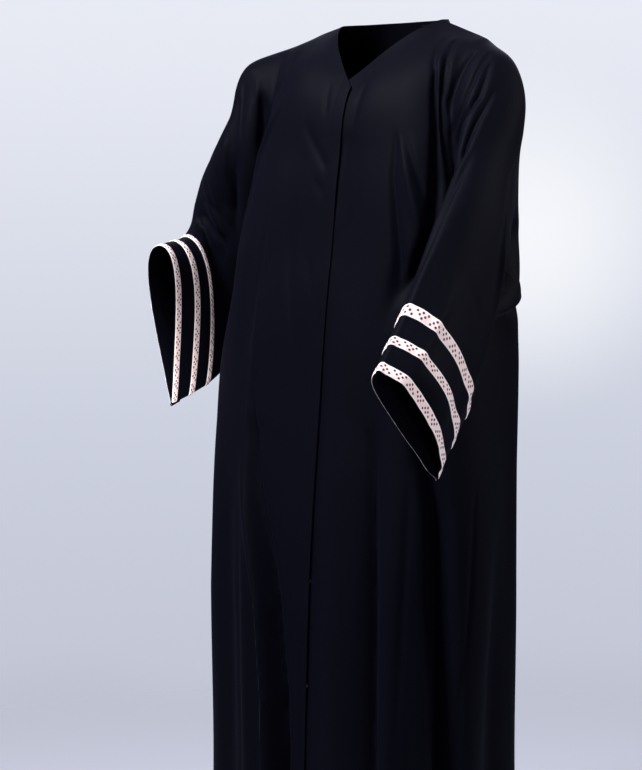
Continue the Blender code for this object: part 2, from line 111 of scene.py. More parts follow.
# How far the left front is pressed in beside the hanging left sleeve, at the same rows
LEFT_PRESS = (
    # row, inwards
    (0, 0.000), (3, 0.000), (6, 0.004), (9, 0.034), (12, 0.042), (15, 0.030),
    (20, 0.004), (25, 0.000), (30, 0.000),
)

# Half of the back, read the same way
BACK_SECTIONS = (
    # row, centre_y, centre_z, blade_x, blade_y, turn_x, turn_y
    (0, 0.078, 0.000, 0.050, 0.084, 0.135, 0.060),
    (3, 0.090, -0.060, 0.070, 0.092, 0.140, 0.078),
    (6, 0.100, -0.150, 0.090, 0.104, 0.165, 0.092),
    (9, 0.102, -0.270, 0.110, 0.106, 0.190, 0.085),
    (12, 0.094, -0.385, 0.130, 0.098, 0.200, 0.066),
    (15, 0.087, -0.530, 0.145, 0.094, 0.222, 0.058),
    (20, 0.082, -0.810, 0.150, 0.090, 0.230, 0.058),
    (25, 0.084, -1.100, 0.150, 0.092, 0.228, 0.057),
    (30, 0.090, -LENGTH, 0.156, 0.100, 0.242, 0.064),
)

# Side seam, from the underarm to the hem
SIDE_SEAM = (
    # row, x, y, z
    (12, 0.204, 0.000, -0.395),
    (15, 0.208, -0.008, -0.530),
    (20, 0.216, -0.016, -0.810),
    (25, 0.218, -0.020, -1.100),
    (30, 0.228, -0.022, -LENGTH),
)

# Sleeve rings.  "top" carries on from the shoulder line and "under" from the side seam; "front"
# and "back" lie between.  "tear" narrows a ring towards its underside, as a wide cuff hangs.
RIGHT_SLEEVE = (
    # station, top xyz, front xyz, under xyz, back xyz, tear
    (0, -0.170, 0.000, -0.026, -0.163, -0.080, -0.180, -0.204, 0.000, -0.395, -0.182, 0.062, -0.200, 0.0),
    (1, -0.235, -0.040, -0.056, -0.194, -0.102, -0.195, -0.226, -0.002, -0.402, -0.213, 0.046, -0.215, 0.0),
    (2, -0.268, -0.044, -0.116, -0.226, -0.108, -0.235, -0.244, -0.006, -0.422, -0.252, 0.038, -0.250, 0.1),
    (3, -0.318, -0.036, -0.190, -0.266, -0.096, -0.280, -0.256, -0.014, -0.454, -0.305, 0.038, -0.310, 0.2),
    (4, -0.354, -0.035, -0.268, -0.284, -0.078, -0.332, -0.266, -0.040, -0.494, -0.345, 0.018, -0.360, 0.3),
    (5, -0.300, -0.117, -0.312, -0.264, -0.098, -0.410, -0.272, -0.100, -0.538, -0.325, -0.085, -0.415, 0.5),
    (6, -0.283, -0.198, -0.328, -0.260, -0.187, -0.425, -0.275, -0.182, -0.569, -0.304, -0.192, -0.425, 0.6),
)
LEFT_SLEEVE = (
    (0, 0.168, 0.000, -0.031, 0.163, -0.080, -0.180, 0.204, 0.000, -0.395, 0.182, 0.062, -0.200, 0.0),
    (1, 0.212, -0.010, -0.062, 0.188, -0.096, -0.190, 0.222, -0.006, -0.401, 0.206, 0.036, -0.215, 0.0),
    (2, 0.236, -0.030, -0.118, 0.198, -0.120, -0.215, 0.231, -0.020, -0.408, 0.222, 0.006, -0.240, 0.0),
    (3, 0.240, -0.091, -0.180, 0.206, -0.146, -0.262, 0.236, -0.048, -0.421, 0.244, -0.046, -0.272, 0.0),
    (4, 0.238, -0.173, -0.254, 0.212, -0.170, -0.333, 0.240, -0.096, -0.444, 0.266, -0.112, -0.315, 0.1),
    (5, 0.232, -0.299, -0.394, 0.224, -0.229, -0.483, 0.243, -0.155, -0.548, 0.276, -0.222, -0.460, 0.2),
    (6, 0.244, -0.376, -0.474, 0.228, -0.291, -0.563, 0.239, -0.219, -0.638, 0.284, -0.291, -0.550, 0.25),
)

# Folds, each a straight line in a piece's own grid, from its start to its end.  "down" is a
# row number on a body panel and a station on a sleeve; "across" is the share of the panel's
# half width from the middle, or the angle round a sleeve in degrees.  A minus depth is a trough.
FOLDS = (
    # piece, start down, start across, end down, end across, half width, depth
    ("front_right", 5.5, 0.320, 15.7, 0.208, 0.020, 0.006),
    ("front_right", 15.4, 0.250, 31.0, 0.160, 0.024, 0.009),
    ("front_right", 17.0, 0.345, 31.0, 0.285, 0.024, -0.010),
    ("front_right", 16.0, 0.500, 31.0, 0.460, 0.030, 0.007),
    ("front_right", 17.0, 0.700, 31.0, 0.660, 0.026, -0.014),
    ("front_right", 14.0, 0.900, 31.0, 0.870, 0.028, 0.006),
    ("front_left", 11.5, 0.125, 31.0, 0.150, 0.028, 0.008),
    ("front_left", 15.0, 0.230, 31.0, 0.285, 0.015, -0.010),
    ("front_left", 14.0, 0.330, 31.0, 0.345, 0.022, 0.008),
    ("front_left", 18.0, 0.930, 31.0, 0.900, 0.024, -0.012),
    ("front_left", 5.4, 0.570, 9.5, 0.490, 0.016, 0.005),
    ("back_right", 8.0, 0.180, 31.0, 0.140, 0.022, -0.013),
    ("back_right", 11.0, 0.360, 31.0, 0.330, 0.028, 0.009),
    ("back_right", 9.0, 0.560, 31.0, 0.530, 0.024, -0.015),
    ("back_right", 13.0, 0.800, 31.0, 0.760, 0.028, 0.010),
    ("back_left", 10.0, 0.060, 31.0, 0.080, 0.026, 0.009),
    ("back_left", 8.5, 0.270, 31.0, 0.250, 0.022, -0.015),
    ("back_left", 12.0, 0.480, 31.0, 0.450, 0.028, 0.010),
    ("back_left", 11.0, 0.640, 31.0, 0.610, 0.022, -0.011),
    ("sleeve_left", 1.6, 250, 3.6, 228, 0.022, -0.012),
    ("sleeve_left", 3.4, 262, 5.4, 232, 0.016, 0.005),
    ("sleeve_right", 0.7, 35, 2.2, 100, 0.018, -0.010),
    ("sleeve_right", 3.9, 40, 3.2, 110, 0.016, -0.004),
    ("sleeve_right", 4.6, 60, 4.0, 125, 0.015, -0.003),
    ("sleeve_right", 1.4, 240, 3.0, 215, 0.022, -0.010),
)

# A fold grows from nothing at its start: share of its length, share of its depth
FOLD_GROWTH = ((0, 0), (0.12, 0.5), (0.3, 1), (1, 1))

# Finer creases.  Each runs through points in its piece's own grid, read as the folds are: down,
# across, half width and depth, the last two in millimetres.  A minus depth is a trough.
CREASES = {
    # Chest, the ridge down the body, and the deep fold beside the band
    "front_right": (
        ((4.6, 0.220, 5, 0), (4.85, 0.195, 5, -2), (5.5, 0.085, 5, -3.4), (6.0, 0.020, 5, -3.2),
         (6.25, 0.002, 4, 0)),
        ((6.4, 0.100, 4, 0), (6.7, 0.055, 4, -2), (7.0, 0.010, 4, -1.4), (7.1, 0.002, 4, 0)),
        ((3.3, 0.110, 4, 0), (3.6, 0.095, 4, -2), (4.1, 0.065, 4, -2), (4.5, 0.050, 4, 0)),
        ((3.8, 0.51, 5, 0), (4.4, 0.56, 5, 3), (4.9, 0.62, 5, 5), (6.0, 0.74, 5, 6),
         (6.5, 0.74, 5, 5), (7.0, 0.71, 6, 3), (8.0, 0.67, 6, 2), (9.3, 0.65, 7, 0)),
        ((1.0, 0.68, 6, 0), (2.1, 0.67, 7, -2.5), (3.1, 0.71, 7, -4), (4.0, 0.80, 7, -4)),
        ((1.2, 0.325, 5, 0), (2.2, 0.365, 5, -1.5), (3.1, 0.41, 5, 0)),
        ((6.9, 0.178, 6, 0), (8.8, 0.15, 7, -2), (11.2, 0.12, 7, -2.6), (13.2, 0.083, 6, -1.5),
         (14.8, 0.052, 6, 0)),
        ((7.0, 0.355, 8, 0), (8.5, 0.31, 8, -2.6), (10.0, 0.29, 8, -3), (12.2, 0.278, 8, -2),
         (13.5, 0.27, 8, 0)),
        ((11.0, 0.262, 6, 0), (12.2, 0.25, 6, 2.8), (13.6, 0.238, 6, 3.6), (15.8, 0.225, 7, 3.4),
         (17.0, 0.215, 7, 0)),
        ((13.8, 0.240, 6, 0), (15.0, 0.225, 6, -5), (16.4, 0.205, 7, -14), (17.4, 0.190, 8, -14),
         (18.6, 0.148, 9, -18), (19.5, 0.117, 9, -22), (20.5, 0.088, 9, -25),
         (22.8, 0.050, 9, -25), (24.2, 0.043, 9, -24), (31.0, 0.039, 9, -24)),
        ((16.2, 0.250, 10, 0), (17.4, 0.232, 11, 6), (18.6, 0.188, 11, 17), (19.5, 0.156, 11, 23),
         (20.5, 0.124, 11, 26), (22.8, 0.086, 11, 27), (24.2, 0.078, 11, 27),
         (31.0, 0.074, 11, 27)),
        ((18.0, 0.262, 8, 0), (20.5, 0.246, 9, -7), (24.7, 0.232, 10, -9), (31.0, 0.220, 10, -9)),
        ((9.4, 0.060, 4, 0), (9.9, 0.048, 4, -1.2), (11.7, 0.022, 4, -1.2), (12.3, 0.006, 4, 0)),
    ),
    # Neck and chest, the pocket under the arm, and the skirt's deep folds
    "front_left": (
        ((2.9, 0.225, 5, 0), (3.2, 0.21, 5, -1.8), (4.3, 0.177, 6, -2.6), (6.2, 0.103, 5, -1.2),
         (6.8, 0.08, 5, 0)),
        ((6.6, 0.215, 4, 0), (7.1, 0.198, 4, -1.6), (8.3, 0.128, 4, -1.6), (8.8, 0.10, 4, 0)),
        ((5.0, 0.475, 4, 0), (5.6, 0.463, 5, -3), (6.5, 0.43, 6, -5), (7.8, 0.413, 7, -9),
         (9.8, 0.398, 9, -12), (11.5, 0.36, 11, -8), (13.2, 0.29, 12, 0)),
        ((5.2, 0.50, 6, 0), (6.5, 0.525, 7, 4), (7.7, 0.55, 8, 5), (8.6, 0.575, 8, 4),
         (9.4, 0.60, 8, 0)),
        ((5.2, 0.52, 4, 0), (5.8, 0.55, 5, -3), (6.4, 0.58, 5, -4), (7.1, 0.62, 5, -4),
         (7.8, 0.65, 5, 0)),
        ((2.6, 0.80, 4, 0), (3.4, 0.80, 4, -4), (4.1, 0.82, 5, -8), (5.4, 0.82, 6, -14),
         (6.9, 0.77, 8, -20), (8.3, 0.66, 9, -22), (9.7, 0.52, 10, -20), (11.0, 0.43, 10, -12),
         (12.4, 0.37, 10, 0)),
        ((0.8, 0.50, 3, 0), (1.6, 0.63, 4, -2.5), (2.5, 0.73, 4, -4), (3.4, 0.80, 4, -3),
         (4.8, 0.80, 4, 0)),
        ((0.8, 0.62, 4, 0), (1.4, 0.69, 4, 2), (2.2, 0.77, 4, 3), (3.4, 0.83, 4, 2),
         (4.2, 0.86, 4, 0)),
        ((0.9, 0.55, 3, 0), (1.8, 0.74, 4, -3), (2.9, 0.855, 4, -5), (4.0, 0.89, 4, -6),
         (5.1, 0.91, 5, -8), (6.2, 0.92, 5, -10), (7.4, 0.91, 5, 0)),
        ((0.9, 0.69, 3, 0), (1.9, 0.81, 4, -3), (3.2, 0.90, 4, -5), (4.3, 0.925, 4, -5),
         (4.9, 0.99, 4, -3), (5.2, 1.0, 4, 0)),
        ((15.6, 0.222, 5, 0), (17.0, 0.236, 6, -10), (20.1, 0.257, 6, -13), (24.2, 0.277, 7, -13),
         (31.0, 0.300, 7, -12)),
        ((17.0, 0.395, 4, 0), (17.7, 0.388, 4, -3), (20.0, 0.378, 4, -3.5), (22.0, 0.371, 4, -3),
         (24.0, 0.365, 4, -1), (25.0, 0.360, 4, 0)),
        ((14.8, 0.375, 9, 0), (16.2, 0.430, 10, -16), (17.0, 0.472, 11, -26),
         (18.0, 0.505, 12, -30), (19.0, 0.512, 13, -32), (20.0, 0.520, 14, -34),
         (21.0, 0.535, 14, -35), (22.0, 0.553, 14, -36), (24.0, 0.588, 15, -38),
         (31.0, 0.658, 16, -38)),
        ((15.6, 0.450, 10, 0), (17.0, 0.515, 12, -10), (18.0, 0.552, 14, -14),
         (19.0, 0.560, 14, -16), (20.0, 0.571, 15, -17), (22.0, 0.604, 15, -19),
         (24.0, 0.638, 16, -20), (31.0, 0.708, 16, -20)),
        ((17.2, 0.755, 4, 0), (17.9, 0.740, 4, -3), (19.7, 0.715, 4, -4), (22.7, 0.675, 4, -4),
         (31.0, 0.640, 5, -3)),
    ),
    # Pleats from the shoulder to the armpit, the pressed cuff, and the rear line with its recess
    "sleeve_left": (
        ((0.35, 25, 3, 0), (0.30, 32, 4, -3), (0.20, 50, 4, -5), (0.05, 70, 4, -5),
         (0.0, 80, 4, 0)),
        ((0.65, 18, 3, 0), (0.75, 26, 4, -3), (0.95, 54, 4, -5), (0.75, 71, 4, -6),
         (0.20, 84, 4, -5), (0.0, 92, 4, 0)),
        ((0.95, 24, 3, 0), (1.10, 32, 4, -3), (1.65, 47, 5, -6), (1.60, 60, 5, -7),
         (1.10, 77, 5, -8), (0.40, 89, 6, -8), (0.10, 98, 6, 0)),
        ((1.70, 28, 4, 0), (1.90, 33, 4, -3), (2.30, 42, 5, -6), (2.90, 50, 6, -9),
         (2.90, 68, 7, -10), (3.00, 84, 7, -8), (3.10, 96, 7, 0)),
        ((3.0, 26, 5, 0), (3.6, 21, 5, -2.4), (4.0, 17, 5, -3), (4.4, 5, 5, -2.4), (4.8, -5, 5, 0)),
        ((4.3, 350, 7, 0), (4.7, 344, 6, 3), (5.0, 338, 6, 4), (5.4, 339, 6, 4), (6.1, 345, 6, 4)),
        ((4.6, 301, 9, 0), (4.9, 301, 8, 4), (5.4, 305, 8, 5), (5.8, 309, 9, 1), (6.1, 312, 9, 0)),
        ((5.4, 322, 20, 0), (6.1, 322, 20, -5)),
        ((4.2, 8, 18, 0), (4.8, 6, 20, -9), (5.2, 5, 22, -13), (5.7, 4, 22, -12), (6.1, 4, 24, -9)),
        ((4.8, 240, 34, 0), (5.3, 240, 36, -5), (6.1, 238, 36, -9)),
        ((6.0, 314, 18, 0), (6.0, 301, 20, -8), (6.0, 286, 22, -11), (6.0, 268, 22, -10),
         (6.0, 252, 20, -3), (6.0, 244, 18, 0)),
        ((5.0, 158, 12, 0), (5.4, 158, 13, -5), (6.1, 158, 13, -7)),
        ((5.2, 208, 9, 0), (5.6, 208, 10, -3), (6.1, 208, 10, -5)),
        ((2.6, 300, 4, 0), (3.1, 291, 4, 4), (3.6, 276, 4, 6), (4.0, 262, 4, 7), (4.2, 250, 5, 7),
         (4.4, 242, 5, 6), (4.6, 236, 6, 5), (4.9, 231, 7, 3), (5.2, 228, 8, 0)),
        ((2.2, 252, 16, 0), (2.6, 244, 22, -10), (3.0, 236, 26, -18), (3.5, 228, 28, -22),
         (4.0, 218, 26, -17), (4.4, 208, 22, -8), (4.8, 202, 20, 0)),
        ((4.55, 292, 4, 0), (4.58, 285, 4, -1.6), (4.6, 265, 4, -1.6), (4.62, 256, 4, 0)),
        ((1.4, 292, 60, 0), (1.4, 274, 64, -4), (1.4, 256, 66, -7), (1.4, 236, 68, -8),
         (1.4, 216, 68, -9), (1.5, 200, 68, -9), (1.5, 188, 66, -7), (1.5, 174, 60, -3),
         (1.5, 160, 60, 0)),
    ),
    # The flattened upper part, the bends halfway down, and the fold against the right front
    "sleeve_right": (
        ((0.8, 30, 40, 0), (1.5, 30, 42, -6), (2.0, 30, 44, -13), (2.5, 28, 44, -15),
         (3.0, 28, 42, -13), (3.5, 30, 38, -6), (4.1, 30, 34, 0)),
        ((3.1, 60, 4, 0), (3.05, 67, 5, -4), (2.95, 85, 5, -6), (2.5, 107, 6, -8),
         (2.45, 116, 5, 0)),
        ((4.6, 28, 4, 0), (4.5, 34, 5, -3), (3.9, 65, 5, -4), (3.5, 94, 6, -6), (2.9, 108, 6, -7),
         (2.8, 118, 5, 0)),
        ((3.5, 62, 4, 0), (3.4, 68, 4, -3), (2.9, 93, 5, -5), (2.65, 112, 5, -5),
         (2.55, 120, 5, 0)),
        ((1.5, 82, 8, 0), (1.7, 92, 9, -8), (1.85, 101, 10, -12), (2.05, 110, 10, -12),
         (2.2, 118, 10, -6), (2.4, 124, 9, 0)),
        ((0.45, 58, 7, 0), (0.38, 68, 9, -12), (0.30, 80, 9, -15), (0.33, 88, 8, -10),
         (0.40, 97, 7, 0)),
        ((0.60, 44, 4, 0), (0.55, 52, 4, 2), (0.50, 70, 4, 3), (0.50, 85, 4, 0)),
        ((1.10, 36, 4, 0), (1.15, 46, 4, 2), (1.20, 62, 4, 3), (1.30, 78, 4, 3), (1.35, 86, 4, 0)),
        ((1.95, 60, 4, 0), (2.0, 68, 4, 2.5), (2.1, 79, 4, 3), (2.2, 90, 4, 0)),
        ((0.6, 300, 6, 0), (1.2, 268, 7, -3), (2.0, 236, 8, -4), (2.7, 214, 7, 0)),
        ((3.2, 268, 5, 0), (3.0, 250, 6, -3), (2.8, 230, 6, -3), (2.9, 205, 5, 0)),
    ),
    # The swell at the hip, the drag line from the armpit, and the skirt's deeper folds
    "back_left": (
        ((10.8, 0.98, 28, 0), (11.6, 0.97, 30, 8), (12.2, 0.965, 32, 15), (12.8, 0.960, 34, 17),
         (13.6, 0.955, 38, 12), (14.8, 0.950, 40, 7), (17.0, 0.96, 40, 3), (20.0, 0.97, 36, 0)),
        ((3.0, 0.95, 6, 0), (5.5, 0.89, 7, -4), (8.5, 0.78, 8, -5), (11.0, 0.66, 8, 0)),
        ((11.0, 0.270, 9, 0), (17.0, 0.262, 10, -7), (31.0, 0.250, 12, -9)),
        ((13.0, 0.640, 9, 0), (20.0, 0.628, 10, -5), (31.0, 0.610, 11, -7)),
        ((15.0, 0.150, 5, 0), (20.0, 0.165, 6, -3), (31.0, 0.170, 6, -4)),
        ((18.5, 0.385, 5, 0), (24.0, 0.375, 6, -3), (31.0, 0.370, 6, -3)),
    ),
    # The drag line from the armpit, and the skirt's deeper folds
    "back_right": (
        ((3.4, 0.94, 6, 0), (5.0, 0.90, 7, -3), (8.0, 0.80, 8, -4), (10.2, 0.70, 8, 0)),
        ((10.0, 0.180, 9, 0), (16.0, 0.165, 10, -6), (31.0, 0.140, 12, -9)),
        ((11.0, 0.560, 9, 0), (18.0, 0.552, 11, -7), (31.0, 0.530, 12, -9)),
        ((17.0, 0.400, 5, 0), (22.0, 0.425, 6, -3), (31.0, 0.430, 6, -4)),
    ),
}

# Closer grid: lines to one row of the solids, and columns over half a panel
LINES_PER_ROW = 8
FRONT_COLUMNS = 120
BACK_NECK_COLUMNS = 30
BACK_SEAM_COLUMNS = 60
SLEEVE_LINES = 180
BAND_COLUMNS = 8
RIBBON_LINES = 7
ANGLES = 2 * ARMHOLE_ROWS * LINES_PER_ROW

# Straight steps between two points of a crease, and how many half widths its depth reaches
CREASE_STEPS = 6
CREASE_REACH = 3

# Easing: its reach from a seam, the strip along an open edge that it leaves alone, and, for the
# seams and then for the whole cloth, the pull in each round and the number of rounds
SEAM_EASE = 0.022
EDGE_KEEP = 0.020
SEAM_PULL = 0.6
SEAM_ROUNDS = 80
CLOTH_PULL = 0.4
CLOTH_ROUNDS = 3

# Edges are shaded sharp past this many degrees
SHARP_ANGLE = 60

# Sign that turns each grid's own normal outwards
FACING = {
    "front_right": -1,
    "front_left": 1,
    "front_band": 1,
    "back": -1,
    "sleeve_right": 1,
    "sleeve_left": -1,
}

# Edges that are turned under and stitched: axis of the grid, line along it
TURNED_EDGES = {
    "front_right": ((0, -1),),
    "front_left": ((0, -1), (1, 0)),
    "back": ((0, -1),),
    "sleeve_right": ((0, -1),),
    "sleeve_left": ((0, -1),),
}

# Flat cut: width, length and area of each panel
FLAT_CUT = {
    "front_right": (0.42, 1.44, 0.50),
    "front_left": (0.44, 1.44, 0.53),
    "back": (0.66, 1.44, 0.80),
    "sleeve_right": (0.86, 0.46, 0.215),
    "sleeve_left": (0.86, 0.46, 0.224),
}

# The band's edges are rolled: share of its height at the very edge, and how fast it rises
BAND_EDGE = 0.3
BAND_SLOPE = 12

# Height of the ribbon's back and face over the sleeve, and its share of thickness at the edge
RIBBON_BACK = 0.0001
RIBBON_FACE = 0.0002
RIBBON_EDGE = 0.15

# The ribbon's woven dots: rows along it, columns across, and rows from one triangle to the next
MOTIF_ROW = 0.0041
MOTIF_COLUMN = 0.00375
TRIANGLE_ROWS = 5.35
MOTIF_START = RIBBON_WIDTH / 2 - 1.5 * MOTIF_COLUMN

# Radius of a dot's full colour and of its rim, and the selvedge's start and end from the middle
DOT_FULL = 0.00148
DOT_RIM = 0.00190
SELVEDGE_START = 0.0052
SELVEDGE_END = 0.0066

# Weft ribs lie 0.4 mm apart on such ribbon; drawn 5 mm apart, the closest that shows
RIB_PITCH = 0.00503

# Running stitches; the hem's lie this far in, the band's at this share of its width
STITCH_PITCH = 0.0030
STITCH_LENGTH = 0.0022
STITCH_RADIUS = 0.00028
STITCH_SIDES = 6
HEM_STITCH = HEM_DEPTH - 0.002
BAND_STITCH = 0.55

# Unevenness: reach along x, y and z in metres, start, height in millimetres
DRIFT = (
    (0.21, 0.33, 1.90, 0.4, 0.9),
    (-0.13, 0.19, 0.80, 1.9, 0.6),
    (0.090, -0.140, 0.55, 4.1, 0.4),
    (0.060, 0.085, -0.45, 2.7, 0.25),
)

# Camera: the photo's viewpoint, from the left front and a little below the chest; lens and
# sensor in millimetres
CAMERA_PLACE = (1.787, -2.456, -0.270)
CAMERA_BACK = (0.613, -0.785, 0.087)
CAMERA_LENS = 95.38
CAMERA_SENSOR = 36

# Floor: its height, its radius, and where it starts to fade
FLOOR_Z = -1.47
FLOOR_RADIUS = 2.8
FLOOR_FADE = 0.9
FLOOR_SIDES = 96
FLOOR_COLOUR = "#BFC0C8"

# Lights: name, place, aim, size, power, colour
LIGHTS = (
    ("key", (-0.55, -1.95, 1.95), (-0.05, -0.12, -0.25), (0.8, 1.0), 165.0, "#F4F6FF"),
    ("right side", (1.90, 1.75, 0.60), (0.00, 0.00, -0.45), (0.7, 1.6), 34.0, "#F0F3FF"),
    ("left side", (-2.20, -0.60, 0.40), (-0.05, 0.00, -0.45), (0.7, 1.8), 2.0, "#F0F3FF"),
    ("fill", (2.30, -2.00, 0.35), (0.00, 0.00, -0.40), (1.0, 1.4), 4.0, "#F4F6FF"),
    ("above", (0.4, -0.7, 2.3), (0.0, 0.0, -0.4), (1.6, 1.6), 34.0, "#F6F8FF"),
    ("behind", (-1.2, 2.4, 1.2), (0.0, 0.0, -0.5), (2.0, 2.0), 32.0, "#F0F3FF"),
)

# Shaded lamps on the cuffs: name, place, aim, cone in radians, power
LAMPS = (
    ("right cuff lamp", (1.05, -2.05, 0.10), (-0.30, -0.33, -0.56), 0.13, 1050.0),
    ("left cuff lamp", (2.60, -1.60, -0.60), (0.21, -0.28, -0.52), 0.17, 75.0),
)
LAMP_BLEND = 0.9
LAMP_SIZE = 0.12

# The room behind: height of the view direction, colour; and the share of it that lights the cloth
ROOM_COLOURS = ((-0.27, "#BFC2D1"), (-0.10, "#CBD0DF"), (0.03, "#E3E6F0"), (0.12, "#EAEDF6"))
ROOM_LIGHT = 0.10

# Pool of light on the wall: its direction, the cosine at its rim, its strength and its colour
GLOW_TOWARDS = (-0.5354, 0.8445, -0.0135)
GLOW_RIM = 0.9955
GLOW_STRENGTH = 0.97
GLOW_COLOUR = "#F6F8FC"


def along_table(table, stations):
    """Read a table between its rows with a smooth curve through every row.

    Each row's slope is that of the line between its two neighbours, and a cubic joins the rows.
    """
    rows = np.asarray(table, dtype=float)
    knots = rows[:, 0]
    values = rows[:, 1:]
    slopes = np.empty_like(values)
    slopes[1:-1] = (values[2:] - values[:-2]) / (knots[2:] - knots[:-2])[:, None]
    slopes[0] = (values[1] - values[0]) / (knots[1] - knots[0])
    slopes[-1] = (values[-1] - values[-2]) / (knots[-1] - knots[-2])
    stations = np.atleast_1d(np.asarray(stations, dtype=float))
    left = np.clip(np.searchsorted(knots, stations, side="right") - 1, 0, len(knots) - 2)
    width = knots[left + 1] - knots[left]
    t = ((stations - knots[left]) / width)[:, None]
    width = width[:, None]
    start, end = values[left], values[left + 1]
    start_slope, end_slope = slopes[left] * width, slopes[left + 1] * width
    return (
        start * (2 * t**3 - 3 * t**2 + 1)
        + start_slope * (t**3 - 2 * t**2 + t)
        + end * (3 * t**2 - 2 * t**3)
        + end_slope * (t**3 - t**2)
    )


def sleeve_points(table, stations, angles):
    """Rings through top, front, under and back points.

    Point = middle + cos(angle) * half height + (sin(angle) + tear * sin(2 angle) / 2) * half width
    + cos(2 angle) * skew, where the skew makes the ring pass through all four points.
    """
    read = along_table(table, stations)
    top, front, under, back = (read[:, 3 * k:3 * k + 3][:, None, :] for k in range(4))
    tear = read[:, 12][:, None, None]
    angle = np.asarray(angles)[None, :, None]
    middle = (top + front + under + back) / 4
    skew = (top + under - front - back) / 4
    width = np.sin(angle) + tear * np.sin(2 * angle) / 2
    height = np.cos(angle)
    return middle + height * (top - under) / 2 + width * (front - back) / 2 + np.cos(2 * angle) * skew


def front_profile(z):
    """Front middle seen from the side: it comes forward down the V, then follows the table."""
    quarter_rows = np.arange(SHOULDER_ROWS, BODY_ROWS + 1, 0.25)
    centre = along_table(FRONT_SECTIONS, quarter_rows)
    on_neck = -NECK_FRONT * np.clip(-z / NECK_DEPTH, 0, 1) ** NECK_CURVE
    return np.where(z > -NECK_DEPTH, on_neck, np.interp(-z, -centre[:, 1], centre[:, 0]))


def front_neck_drop(x):
    """Height of the front neck edge at a distance x out from the middle: a straight V."""
    return -NECK_DEPTH * (NECK_HALF_WIDTH - x) / (NECK_HALF_WIDTH + OVERLAP_EDGE)


def back_top(across):
    """Top edge of half the back: a quarter oval round the neck, then the straight shoulder seam."""
    turn = (1 - np.clip(across / NECK_SHARE, 0, 1)) * math.pi / 2
    seam = np.clip((across - NECK_SHARE) / (1 - NECK_SHARE), 0, 1)
    neck = np.stack([
        NECK_HALF_WIDTH * np.cos(turn),
        NECK_BACK * np.sin(turn),
        NECK_BACK_RISE * np.sin(turn),
    ], axis=-1)
    return neck, seam[..., None]


def smooth_step(t):
    """Ease from 0 to 1 with level ends."""
    t = np.clip(t, 0, 1)
    return t * t * (3 - 2 * t)


def front_inner_edge(rows, x):
    """Inner edge of a front: down the V to its own x in the first rows, then straight down."""
    share = np.clip(rows / SHOULDER_ROWS, 0, 1)
    edge_x = NECK_HALF_WIDTH + (x - NECK_HALF_WIDTH) * share
    centre_z = along_table(FRONT_SECTIONS, rows)[:, 1]
    fade = 1 - smooth_step((rows - SHOULDER_ROWS) / SHOULDER_ROWS)
    below = centre_z + (front_neck_drop(x) + NECK_DEPTH) * fade
    z = np.where(rows < SHOULDER_ROWS, front_neck_drop(edge_x), below)
    return np.stack([edge_x, front_profile(z), z], axis=-1)


def outer_edge(rows, sleeve, half_turn):
    """Outer edge of a panel: down the armhole ring, then down the side seam, as outward x."""
    angles = half_turn * math.pi * np.clip(rows / ARMHOLE_ROWS, 0, 1)
    ring = sleeve_points(sleeve, 0, angles)[0]
    ring[:, 0] = np.abs(ring[:, 0])
    seam = along_table(SIDE_SEAM, np.clip(rows, ARMHOLE_ROWS, BODY_ROWS))
    return np.where((rows < ARMHOLE_ROWS)[:, None], ring, seam)


def panel_points(pull, inner, outer, rows, across):
    """Rows as cubic curves: inner edge, two pulling points from the table, outer edge."""
    drop = outer[:, 2] - inner[:, 2]
    near_shoulder = np.clip(1 - rows / SHOULDER_ROWS, 0, 1)
    first = np.stack([pull[:, 0], pull[:, 1], inner[:, 2] + drop * near_shoulder / 3], axis=-1)
    second = np.stack([pull[:, 2], pull[:, 3], inner[:, 2] + drop * 2 / 3], axis=-1)
    u = across[None, :, None]
    return (
        inner[:, None] * (1 - u) ** 3
        + first[:, None] * 3 * u * (1 - u) ** 2
        + second[:, None] * 3 * u**2 * (1 - u)
        + outer[:, None] * u**3
    )


def front_points(side, rows, across):
    """A front panel; the left one starts past the middle and lies lower, under the right."""
    sleeve = LEFT_SLEEVE if side == "left" else RIGHT_SLEEVE
    start = UNDERLAP_EDGE if side == "left" else BAND_WIDTH - OVERLAP_EDGE
    inner = front_inner_edge(rows, start)
    pull = along_table(FRONT_SECTIONS, rows)[:, 2:]
    if side == "left":
        pull[:, 2] -= along_table(LEFT_PRESS, rows)[:, 0]
    points = panel_points(pull, inner, outer_edge(rows, sleeve, 1), rows, across)
    if side == "left":
        under = 1 - smooth_step((points[..., 0] - OVERLAP_EDGE) / UNDERLAP_REACH)
        points[..., 1] += UNDERLAP_DROP * np.interp(rows, *zip(*GAP_SHARE))[:, None] * under
        return points
    return points * (-1, 1, 1)


def half_back(rows, across, sleeve):
    """Half the back: its top rows ease from the neck and shoulder line into the sections."""
    def section(at):
        table = along_table(BACK_SECTIONS, at)
        inner = np.stack([np.zeros_like(at), table[:, 0], table[:, 1]], axis=-1)
        return panel_points(table[:, 2:], inner, outer_edge(at, sleeve, -1), at, across)

    neck, seam = back_top(across)
    tip = outer_edge(np.zeros(1), sleeve, -1)[0]
    top = neck + (tip - neck) * seam
    first = section(np.array([float(SHOULDER_ROWS)]))[0]
    share = np.clip(rows / SHOULDER_ROWS, 0, 1)[:, None, None]
    eased = top + (first - top) * share
    edge = outer_edge(rows, sleeve, -1)[:, None]
    eased = eased + (edge - eased[:, -1:]) * (across**2)[None, :, None]
    return np.where(share < 1, eased, section(rows))


def back_points(rows, across):
    """The back, from the right edge to the left: both halves meet at the back middle."""
    right = half_back(rows, across, RIGHT_SLEEVE) * (-1, 1, 1)
    left = half_back(rows, across, LEFT_SLEEVE)
    return np.concatenate([right[:, ::-1], left[:, 1:]], axis=1)


